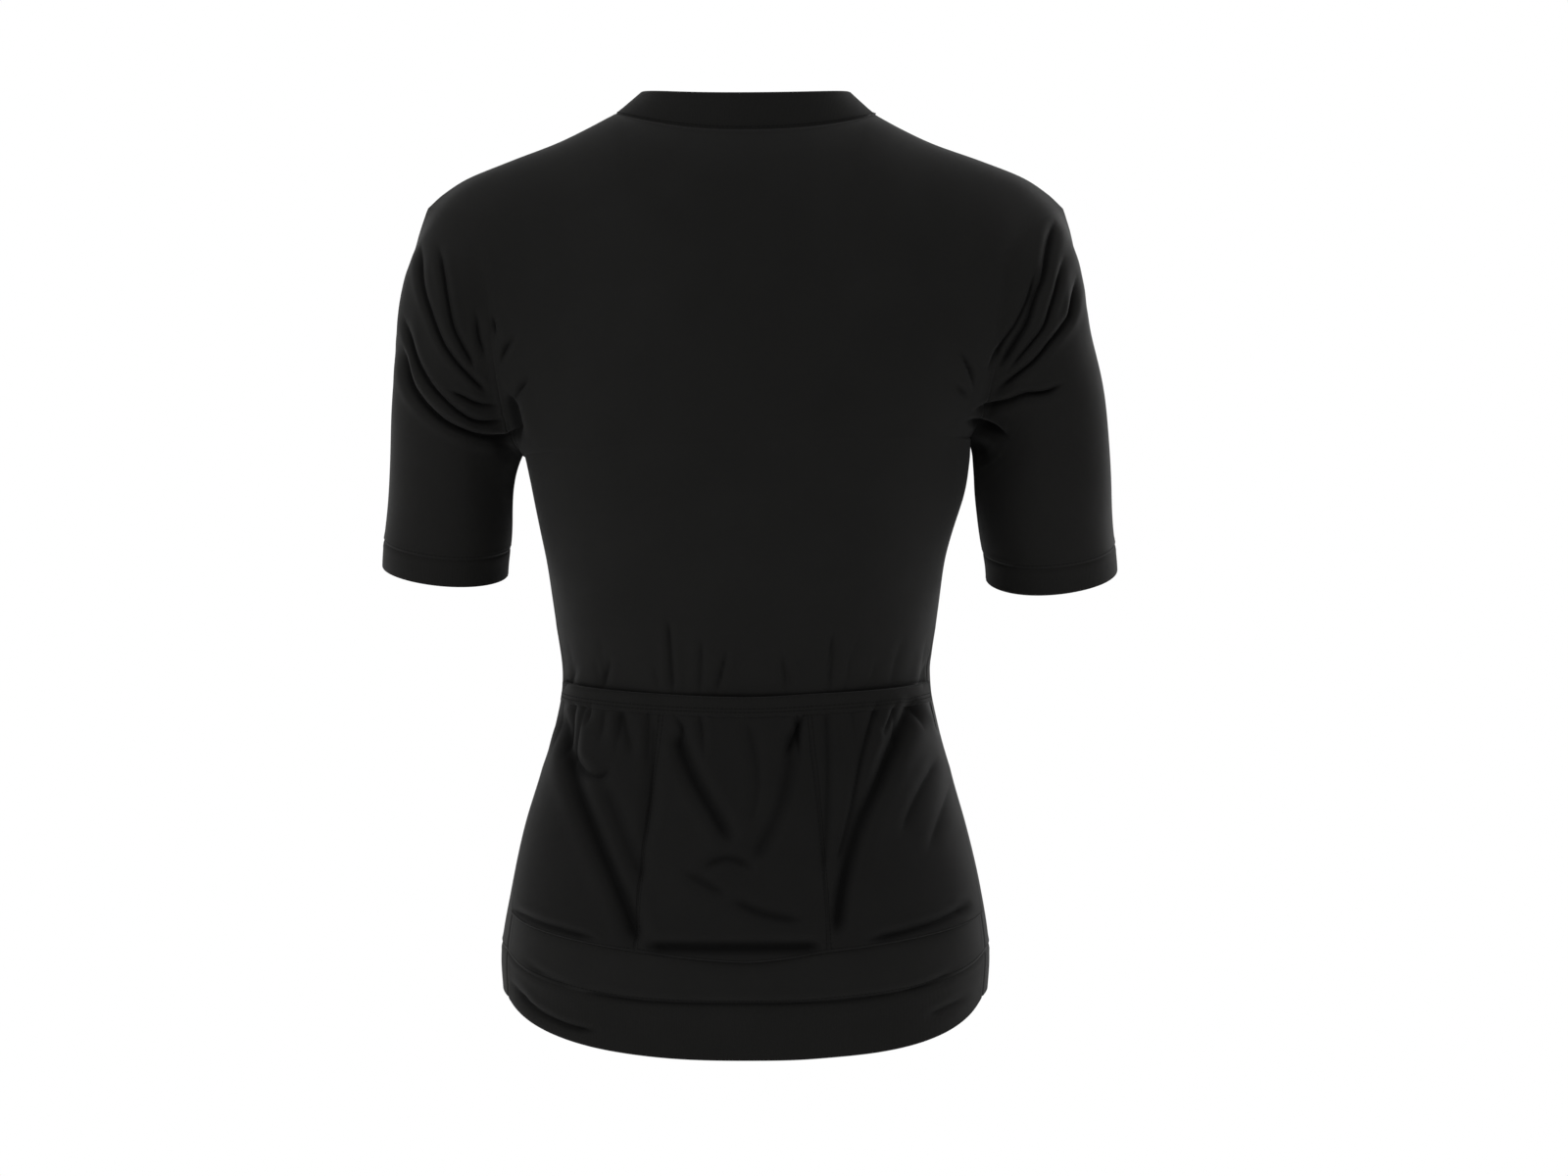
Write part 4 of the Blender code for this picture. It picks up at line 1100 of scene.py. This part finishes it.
# Uneven looks: scale and detail of the noise, and how far it swings a value
DYE = (22.0, 3.0, 0.14)
YARN = (1400.0, 1.0, 0.22)
WEAR = (35.0, 2.0, 0.08)
RUBBED = (400.0, 3.0, 0.15)
GLOSS = (600.0, 2.0, 0.10)
GRAIN = (2600.0, 1.0)
GRAIN_RELIEF = 0.02 * MM
NYLON = {"colour": (0.012, 0.012, 0.012), "roughness": 0.40}
THREAD = {"colour": (0.0045, 0.0045, 0.0043), "roughness": 0.8, "specular": 0.02}
BLACK, WHITE = (0.0, 0.0, 0.0, 1.0), (1.0, 1.0, 1.0, 1.0)


def feed(tree, step, inputs):
    """Give a node's sockets their values or other nodes' results."""
    for socket, value in inputs.items():
        if isinstance(value, bpy.types.NodeSocket):
            tree.links.new(value, step.inputs[socket])
        else:
            step.inputs[socket].default_value = value


def node(tree, kind, inputs=None):
    step = tree.nodes.new("ShaderNode" + kind)
    feed(tree, step, inputs or {})
    return step


def maths(tree, operation, *values):
    """Result of a Math node on numbers or other nodes' results."""
    step = node(tree, "Math", dict(enumerate(values)))
    step.operation = operation
    return step.outputs[0]


def noise(tree, where, scale, detail):
    return node(tree, "TexNoise", {"Scale": scale, "Detail": detail, "Vector": where}).outputs["Fac"]


def varied(tree, where, middle, unevenness):
    """A value that swings round its middle."""
    scale, detail, swing = unevenness
    return maths(tree, "MULTIPLY_ADD", noise(tree, where, scale, detail), 2 * swing, middle - swing)


def shade(tree, colour, amount):
    """A colour made lighter or darker by an amount that is 1 on average."""
    step = node(tree, "Mix")
    step.data_type = "RGBA"
    step.clamp_factor = False
    feed(tree, step, {0: amount, 6: BLACK, 7: (*colour, 1.0)})
    return step.outputs[2]


def new_material(name):
    material = bpy.data.materials.new(name)
    material.use_nodes = True
    return material, material.node_tree, material.node_tree.nodes["Principled BSDF"]


def bump(tree, height, distance):
    return node(tree, "Bump", {"Strength": 1.0, "Distance": distance, "Height": height}).outputs["Normal"]


def ripples(tree, place, pitch):
    return maths(tree, "COSINE", maths(tree, "MULTIPLY", place, 2 * math.pi / pitch))


def cloth_material(name):
    """Fine knit, woven tape or ribbed band: loops in rows, uneven dye, shade painted into its folds and a
    soft sheen.
    """
    finish = FINISHES[name]
    material, tree, shader = new_material(name + "_cloth")
    chart = node(tree, "UVMap")
    chart.uv_map = MAP
    split = node(tree, "SeparateXYZ", {0: chart.outputs["UV"]})
    loops = ripples(tree, split.outputs["X"], finish["wale"])
    if finish["course"]:
        loops = maths(tree, "MULTIPLY", loops, ripples(tree, split.outputs["Y"], finish["course"]))
    where = node(tree, "TexCoord").outputs["Object"]
    dyed = maths(tree, "MULTIPLY", varied(tree, where, 1, DYE), varied(tree, where, 1, YARN))
    # Painted shade: the colour is darkened at the bottom of folds, by how deep they lie
    fold = node(tree, "Attribute")
    fold.attribute_name = FOLD_SHADE_ATTRIBUTE
    painted_shade = maths(tree, "MULTIPLY_ADD", fold.outputs["Fac"], -FOLD_SHADE, 1.0)
    feed(tree, shader, {
        "Base Color": shade(tree, finish["colour"], maths(tree, "MULTIPLY", dyed, painted_shade)),
        "Roughness": varied(tree, where, finish["roughness"], WEAR),
        "Normal": bump(tree, maths(tree, "MULTIPLY_ADD", loops, 0.5, 0.5), finish["relief"]),
        "Specular IOR Level": finish["specular"],
        "Sheen Weight": finish["sheen"],
        "Sheen Roughness": finish["sheen_roughness"],
    })
    return material


def nylon_material(name, colour, roughness, specular=None):
    """Moulded nylon with a faint grain and rubbed patches."""
    material, tree, shader = new_material(name)
    where = node(tree, "TexCoord").outputs["Object"]
    feed(tree, shader, {
        "Base Color": shade(tree, colour, varied(tree, where, 1, RUBBED)),
        "Roughness": varied(tree, where, roughness, GLOSS),
        "Normal": bump(tree, noise(tree, where, *GRAIN), GRAIN_RELIEF),
    })
    if specular is not None:
        feed(tree, shader, {"Specular IOR Level": specular})
    return material


# Pieces --------------------

# Sewn pieces: free are the edges that are not sewn to another piece, then the cut of what shows
SEWN = table("slot thickness free width length area", {
    "back_panel": ("jersey_knit", CLOTH, (), 0.44, 0.62, 0.212),
    "front_left": ("jersey_knit", CLOTH, ("left",), 0.26, 0.58, 0.105),
    "front_right": ("jersey_knit", CLOTH, ("right",), 0.26, 0.58, 0.105),
    "sleeve_left": ("jersey_knit", CLOTH, (), 0.34, 0.24, 0.0535),
    "sleeve_right": ("jersey_knit", CLOTH, (), 0.34, 0.24, 0.0535),
    "collar": ("elastic_band", BAND, ("top", "left", "right"), 0.45, 0.025, None),
    "cuff_left": ("elastic_band", BAND, ("bottom",), 0.30, 0.018, None),
    "cuff_right": ("elastic_band", BAND, ("bottom",), 0.30, 0.018, None),
    "hem_band_back": ("elastic_band", BAND, ("bottom",), 0.37, 0.037, None),
    "hem_band_front_left": ("elastic_band", BAND, ("bottom", "left"), 0.25, 0.0295, None),
    "hem_band_front_right": ("elastic_band", BAND, ("bottom", "right"), 0.25, 0.0295, None),
})

POCKET_BAG = 7.0 * MM
POCKET_DROP_SHAPE = 0.30
POCKET_CLOSING = 0.62
POCKET_FULLNESS = {"foot": 0.5, "mouth": 1.3}
POCKET_LEAST_LIFT = 0.3 * MM
# Folds dent the pockets, and the back panel under them a little deeper
DENT = {"fade": 3.0 * MM, "deep": 7.0 * MM, "deepest": 11.0 * MM, "under": 1.5, "spare": 1.3 * MM}
MOUTH_GROOVE = {"depth": 1.4 * MM, "width": 1.1 * MM, "above": 1.0 * MM, "fade": 6.0 * MM}
BINDING_PROUD = 0.8 * MM
BINDING_WALL = 1.9 * MM

TAPE = {"edge": 1.6 * MM, "reach": 13.0 * MM, "below": 1.4 * MM, "thickness": 0.8 * MM, "columns": 6}
ZIP_EDGE_COLUMNS = 14

STITCH = {"pitch": 3.0 * MM, "length": 2.3 * MM, "radius": 0.19 * MM, "rise": 0.04 * MM}
ROD_SIDES = {"stitch": 5, "tooth": 6, "grip": 8}

# Rows of stitches: new piece, slot, and the panel, edge and distance from it of each row
STITCHING = {
    "binding_stitches": ("elastic_band", (
        ("pocket_binding", "bottom", 2.2), ("pocket_binding", "bottom", 4.6))),
    "hem_stitches": ("elastic_band", (
        ("back_panel", "bottom", 2.4), ("front_left", "bottom", 2.4), ("front_right", "bottom", 2.4))),
    "cuff_left_stitches": ("elastic_band", (("sleeve_left", "bottom", 2.2),)),
    "cuff_right_stitches": ("elastic_band", (("sleeve_right", "bottom", 2.2),)),
    "collar_stitches": ("elastic_band", (("collar", "bottom", 1.8),)),
    "pocket_stitches": ("pocket_knit", (
        ("pocket_left", "right", 1.5), ("pocket_centre", "left", 1.5), ("pocket_centre", "right", 1.5),
        ("pocket_right", "left", 1.5), ("pocket_left", "bottom", 2.0), ("pocket_centre", "bottom", 2.0),
        ("pocket_right", "bottom", 2.0))),
    "zip_stitches": ("jersey_knit", (
        ("front_left", "left", 5.5), ("front_right", "right", 5.5),
        ("hem_band_front_left", "left", 5.5), ("hem_band_front_right", "right", 5.5),
        ("collar", "left", 5.5), ("collar", "right", 5.5))),
}

# The slider hangs on the record's hinge: its place, and the way up the zip there
HINGE = np.array((0.0, -0.06659, -0.060817))
ZIP_UP = np.array((0.0, 0.341136, 0.940014))
ZIP_IN = np.cross(ZIP_UP, (1.0, 0.0, 0.0))
SLIDER_BEHIND_HINGE = 3.3 * MM
CHAIN = {"foot": 7.6 * MM, "below_top": 11.6 * MM, "pitch": 1.3 * MM, "depth": 0.85 * MM,
         "radius": 0.52 * MM, "inner": -0.5 * MM, "outer": 2.7 * MM}
STOP = {"place": 3.7 * MM, "size": (5.6 * MM, 2.2 * MM, 6.6 * MM), "sink": 0.35 * MM, "round": 0.5 * MM}
PLATE_SIZE = {"half_width": 4.5 * MM, "half_height": 5.5 * MM, "thickness": 1.4 * MM, "round": 0.45 * MM,
              "power": 3.6, "taper": 0.12}
PLATE_DEPTHS = (-1.0 * MM, 4.1 * MM)
POST = {"size": (2.4 * MM, 5.0 * MM, 5.0 * MM), "depth": 1.55 * MM, "round": 0.4 * MM}
BRIDGE = {"half_height": 2.4 * MM, "rise": 4.0 * MM, "sunk": 0.5 * MM, "foot": -1.2 * MM,
          "half_width": 1.2 * MM, "half_thickness": 0.6 * MM, "power": 2.8, "points": 21}
PULL = {"half_width": 3.5 * MM, "top": 0.9 * MM, "foot": -24.0 * MM, "thickness": 1.6 * MM,
        "round": 0.55 * MM, "eye_half_width": 1.7 * MM, "eye_top": -0.9 * MM, "eye_foot": -5.9 * MM,
        "power": 6.0, "eye_power": 5.0}
GRIP = {"places": (-15.5, -17.5, -19.5, -21.5), "half_width": 2.1 * MM, "radius": 0.35 * MM,
        "out": 0.75 * MM}


def pocket_lift(rows, columns):
    """Height of a pocket over the back panel: none at its foot and sides, and less again at its mouth."""
    up = np.linspace(0, 1, rows)[:, None]
    across = np.sin(np.linspace(0, math.pi, columns))[None, :]
    fullness = mix(POCKET_FULLNESS["foot"], POCKET_FULLNESS["mouth"], up ** 3)
    height = POCKET_BAG * up ** POCKET_DROP_SHAPE * (1 - POCKET_CLOSING * up ** 3)
    return height * np.maximum(across, 0) ** fullness


class Jersey:
    """The garment. smooth is each panel's form, surface what its folds make of it, out its outward
    directions, and row the number of each line's row."""

    def __init__(self):
        self.smooth, self.row = sewn_panels()
        self.out = shared_directions(self.smooth)
        for side in SIDES:
            name = "sleeve_" + side
            self.smooth[name] = finer(self.smooth[name], FINER["sleeve"])
            self.out[name] = unit(finer(self.out[name], FINER["sleeve"]))
        self.surface = {}
        self.materials = {name: cloth_material(name) for name in FINISHES}
        self.above = gathers("above")
        self.below = gathers("below")

    def keep(self, piece, body, slot, *nodes):
        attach(piece, body)
        if nodes:
            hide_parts(*nodes)

    def add_cloth(self, name, surface, out, thickness, free, slot, moves=None, darker=1.0):
        """One cut piece as a closed wall in its slot's material, on its body, in place of its node."""
        self.surface[name], self.out[name] = surface, out
        piece = add_shell(name + "_cloth", surface, out, thickness, free, self.materials[slot], moves, darker)
        self.keep(piece, "garment", slot, name)

    def mouth_groove(self, grid):
        """Tight line along the top of the binding, where the back panel comes out from behind it."""
        above = lengths(grid, 0)
        above = above - above[self.pocket_rows()[2]]
        shape = np.exp(-np.abs(above - MOUTH_GROOVE["above"]) / MOUTH_GROOVE["width"])
        over = lengths(grid, 1)
        fade = smooth_step(np.minimum(over, over[:, -1:] - over) / MOUTH_GROOVE["fade"])
        return -MOUTH_GROOVE["depth"] * shape * fade

    def moved(self, name, free):
        """A sewn panel's surface with its folds, its slack and its seams, and how far its folds move it."""
        grid, out = self.smooth[name], self.out[name]
        folds = creases(grid, out, "back", BACK_FOLDS + self.above)
        folds = folds + creases(grid, out, "front", FRONT_FOLDS)
        moves = slack(grid) + swells(grid) + seam_moves(grid, free)
        if name == "back_panel":
            folds += self.mouth_groove(grid)
            self.ground = grid + out * (moves + folds)[..., None]
            # Under the pockets it gives way to their folds
            foot, _, mouth = self.pocket_rows()
            under = np.s_[foot:mouth + 1]
            inside = inland(grid[under])
            dents = creases(grid[under], out[under], "back", POCKET_FOLDS + self.below)
            room = self.pocket_lifts() + DENT["under"] * dents - DENT["spare"] * inside
            moves[under] += np.clip(room, -DENT["deepest"] * inside, 0)
        moves += folds
        return grid + out * moves[..., None], folds

    def add_sewn(self):
        for name, cut in SEWN.items():
            surface, folds = self.moved(name, cut["free"])
            self.add_cloth(name, surface, self.out[name], cut["thickness"], cut["free"], cut["slot"],
                           moves=folds)

    def pocket_rows(self):
        """Row numbers on the back panel of the pockets' foot, their binding's foot and their mouth."""
        return [self.row[name] - self.row["band_top"]
                for name in ("pocket_foot", "binding_foot", "pocket_mouth")]

    def pocket_edges(self):
        """Columns of the back panel where the pockets start and end."""
        columns = self.smooth["back_panel"].shape[1]
        corner = len(spaced(SHOULDER_CELLS)) - 1
        return 0, corner, columns - 1 - corner, columns - 1

    def pocket_lifts(self):
        """Height of the three pockets over the back panel, before their folds."""
        foot, _, mouth = self.pocket_rows()
        edges = self.pocket_edges()
        lifts = np.zeros((mouth - foot + 1, edges[-1] + 1))
        for first, last in zip(edges, edges[1:]):
            lifts[:, first:last + 1] = pocket_lift(len(lifts), last - first + 1)
        return lifts

    def add_pockets(self):
        """Three pockets side by side on the back panel, and the one binding over their mouths."""
        foot, binding, mouth = self.pocket_rows()
        smooth = finer(self.smooth["back_panel"][foot:mouth + 1], FINER["pocket"])
        base = finer(self.ground[foot:mouth + 1], FINER["pocket"])
        out = unit(finer(self.out["back_panel"][foot:mouth + 1], FINER["pocket"]))
        edges = [round(edge * FINER["pocket"]) for edge in self.pocket_edges()]
        binding = round((binding - foot) * FINER["pocket"])
        for edge, beside in ((0, 1), (-1, -2)):
            base[:, edge] += unit(base[:, beside] - base[:, edge]) * POCKET_SIDE_INSET
        folds = creases(smooth, out, "back", POCKET_FOLDS + self.below)
        lift = finer(self.pocket_lifts(), FINER["pocket"])
        lift = np.maximum(lift + folds, -DENT["deep"] * inland(smooth)) + POCKET_LEAST_LIFT + CLOTH
        for name, first, last in zip(("pocket_left", "pocket_centre", "pocket_right"), edges, edges[1:]):
            span = np.s_[:, first:last + 1]
            surface = base[span] + out[span] * lift[span][..., None]
            self.add_cloth(name, surface, out[span], CLOTH, ("top",), "pocket_knit",
                           folds[span], POCKET_FOLD_SHADE)
        strip = np.s_[binding:]
        surface = base[strip] + out[strip] * (lift[strip] + BINDING_PROUD)[..., None]
        self.add_cloth("pocket_binding", surface, out[strip], BINDING_WALL, ("top", "bottom"), "elastic_band")

    # Zip

    def zip_edge(self, side):
        """Columns of the cloth beside the zip, hem to collar top, from the edge outwards."""
        step = np.s_[:, :ZIP_EDGE_COLUMNS] if side == "left" else np.s_[:, :-ZIP_EDGE_COLUMNS - 1:-1]
        names = ("hem_band_front_" + side, "front_" + side, "collar")
        parts = []
        for source in (self.surface, self.out):
            stretches = [source[name][step] for name in names]
            parts.append(np.concatenate((stretches[0][:-1], stretches[1][:-1], stretches[2])))
        return parts

    def add_tape(self, side):
        surface, out = self.zip_edge(side)
        across = np.abs(surface[..., 0])
        places = np.linspace(TAPE["edge"], TAPE["reach"], TAPE["columns"])
        grids = []
        for values in (surface, out):
            rows = []
            for x, row in zip(across, values):
                inner = row[0] + (row[1] - row[0]) * ((places[:1] - x[0]) / (x[1] - x[0]))[:, None]
                outer = np.stack([np.interp(places[1:], x, row[:, k]) for k in range(3)], axis=1)
                rows.append(np.concatenate((inner, outer)))
            grid = np.array(rows)
            grids.append(grid if side == "left" else grid[:, ::-1])
        tape, direction = grids[0], unit(grids[1])
        self.add_cloth("zip_tape_" + side, tape - direction * TAPE["below"], direction, TAPE["thickness"],
                       EDGES, "zip_tape")

    def zip_centre(self):
        """Middle of the zip at the cloth's surface, hem to collar top, and its outward directions."""
        (left, left_out), (right, right_out) = (self.zip_edge(side) for side in SIDES)
        points = (left[:, 0] + right[:, 0]) / 2
        return points * (0, 1, 1), unit((left_out[:, 0] + right_out[:, 0]) * (0, 1, 1))

    def add_zip(self):
        """Coil teeth, bottom stop, slider with its bridge, and the pull tab."""
        nylon = nylon_material("zip_nylon_moulded", **NYLON)
        for side in SIDES:
            self.add_tape(side)
        points, out = self.zip_centre()
        places = np.arange(CHAIN["foot"], lengths(points)[-1] - CHAIN["below_top"], CHAIN["pitch"])
        starts, ends = [], []
        for sign, shift in ((1, 0), (-1, CHAIN["pitch"] / 2)):
            middle = at_lengths(points, points - out * CHAIN["depth"], places + shift)
            starts.append(middle + np.array((sign * CHAIN["inner"], 0, 0)))
            ends.append(middle + np.array((sign * CHAIN["outer"], 0, 0)))
        teeth = add_capsules("zip_teeth", np.concatenate(starts), np.concatenate(ends), CHAIN["radius"],
                             ROD_SIDES["tooth"], nylon)
        self.keep(teeth, "garment", "zip_nylon", "zip_chain")

        foot = at_lengths(points, points, np.array((STOP["place"],)))[0]
        ahead = at_lengths(points, points, np.array((2 * STOP["place"],)))[0]
        stop_block = block(STOP["size"], (0, STOP["sink"], 0), STOP["round"])
        stop = add_parts("zip_stop_moulded", [stop_block], nylon, foot, unit(ahead - foot))
        self.keep(stop, "garment", "zip_nylon", "zip_stop")

        high = PLATE_SIZE["half_height"]
        outline = round_loop(PLATE_SIZE["half_width"], -high, high, PLATE_SIZE["power"])
        outline[:, 0] *= 1 + PLATE_SIZE["taper"] * (outline[:, 1] / high - 1) / 2
        parts = []
        for depth in PLATE_DEPTHS:
            plate_points, plate_faces = plate(outline, None, PLATE_SIZE["thickness"], PLATE_SIZE["round"])
            parts.append((plate_points + (0, depth, 0), plate_faces))
        parts.append(block(POST["size"], (0, POST["depth"], 0), POST["round"]))
        z, y = squared(np.linspace(0, math.pi, BRIDGE["points"]), 2 / BRIDGE["power"])
        path = np.stack((BRIDGE["foot"] - y * (BRIDGE["rise"] - BRIDGE["sunk"]), z * BRIDGE["half_height"]),
                        axis=1)
        parts.append(bent_bar(path, BRIDGE["half_width"], BRIDGE["half_thickness"]))
        slider = add_parts("zip_slider_moulded", parts, nylon, HINGE + ZIP_IN * SLIDER_BEHIND_HINGE, ZIP_UP)
        self.keep(slider, "garment", "zip_nylon", "zip_slider")

        outline = round_loop(PULL["half_width"], PULL["foot"], PULL["top"], PULL["power"])
        eye = round_loop(PULL["eye_half_width"], PULL["eye_foot"], PULL["eye_top"], PULL["eye_power"])
        tab = plate(outline, eye, PULL["thickness"], PULL["round"])
        pull = add_parts("zip_pull_moulded", [tab], nylon, HINGE, ZIP_UP)
        self.keep(pull, "pull", "zip_nylon", "zip_pull")
        ribs = [HINGE + ZIP_UP * z * MM - ZIP_IN * GRIP["out"] for z in GRIP["places"]]
        reach = np.array((GRIP["half_width"], 0, 0))
        grip = add_capsules("zip_pull_grip", np.array(ribs) - reach, np.array(ribs) + reach, GRIP["radius"],
                            ROD_SIDES["grip"], nylon)
        self.keep(grip, "pull", "zip_nylon")

    def add_stitches(self):
        thread = nylon_material("thread", **THREAD)
        for name, (slot, rows) in STITCHING.items():
            ends = [stitch_ends(*line_beside(self.surface[panel], self.out[panel], edge, distance * MM))
                    for panel, edge, distance in rows]
            starts, stops = (np.concatenate(parts) for parts in zip(*ends))
            piece = add_capsules(name, starts, stops, STITCH["radius"], ROD_SIDES["stitch"], thread)
            self.keep(piece, "garment", slot)


# Camera, light and floor --------------------

LIGHTS = table("size power place", {
    "key": (1.8, 30.0, (2.2, 1.7, 0.7)),
    "fill": (2.2, 9.0, (-2.2, 1.7, 0.3)),
    "front_key": (1.8, 40.0, (-2.1, -1.7, 0.6)),
    "front_fill": (2.2, 12.0, (2.0, -1.9, 0.3)),
})
SKY = {"level": 0.60, "rise": 0.44, "least": 0.05}
FLOOR = {"height": -1.3, "radius": 3.6, "points": 96, "roughness": 0.9, "glow": 0.3}
FLOOR_COLOUR = (0.9, 0.9, 0.9, 1.0)


def add_camera():
    view = bpy.data.cameras.new("photo_view")
    view.sensor_width = SENSOR
    view.lens = SENSOR * CAMERA_DISTANCE / (PHOTO_WIDTH * PIXEL)
    view.shift_x = (PHOTO_WIDTH / 2 - GARMENT_CENTRE_PIXEL) / PHOTO_WIDTH
    camera = add_object("photo_view", view)
    camera.location = (0.0, CAMERA_DISTANCE, CAMERA_HEIGHT)
    camera.rotation_euler = (math.radians(90), 0.0, math.radians(180))
    bpy.context.scene.camera = camera


def add_lights():
    """Square lamps that face the garment's middle."""
    for name, lamp in LIGHTS.items():
        light = bpy.data.lights.new(name, "AREA")
        light.size = lamp["size"]
        light.energy = lamp["power"]
        holder = add_object(name, light)
        holder.location = lamp["place"]
        aim = np.array((0.0, 0.0, CAMERA_HEIGHT)) - np.array(lamp["place"])
        holder.rotation_euler = Vector(aim).to_track_quat("-Z", "Y").to_euler()


def add_sky():
    """Light that grows with height, and that the camera sees as plain white."""
    world = bpy.data.worlds.new("studio")
    bpy.context.scene.world = world
    world.use_nodes = True
    tree = world.node_tree
    upward = node(tree, "SeparateXYZ", {0: node(tree, "TexCoord").outputs["Generated"]}).outputs["Z"]
    level = maths(tree, "MULTIPLY_ADD", upward, SKY["rise"], SKY["level"])
    light = tree.nodes["Background"]
    feed(tree, light, {"Color": WHITE, "Strength": maths(tree, "MAXIMUM", level, SKY["least"])})
    seen = node(tree, "Background", {"Color": WHITE, "Strength": 1.0})
    from_camera = node(tree, "LightPath").outputs["Is Camera Ray"]
    choose = node(tree, "MixShader", {0: from_camera, 1: light.outputs[0], 2: seen.outputs[0]})
    feed(tree, tree.nodes["World Output"], {"Surface": choose.outputs[0]})


def add_floor():
    """Round white floor, which is no part of the garment."""
    turns = 2 * np.pi * np.arange(FLOOR["points"]) / FLOOR["points"]
    ring = np.stack((np.cos(turns) * FLOOR["radius"], np.sin(turns) * FLOOR["radius"],
                     np.full(len(turns), FLOOR["height"])), axis=1)
    material, tree, shader = new_material("floor")
    feed(tree, shader, {"Base Color": FLOOR_COLOUR, "Roughness": FLOOR["roughness"],
                        "Emission Color": WHITE, "Emission Strength": FLOOR["glow"]})
    floor = add_mesh("floor", ring, [tuple(range(len(turns)))], material)


jersey = Jersey()
jersey.add_sewn()
jersey.add_pockets()
jersey.add_zip()
jersey.add_stitches()
add_camera()
add_lights()
add_sky()
bpy.context.scene.view_settings.view_transform = "Standard"
add_floor()
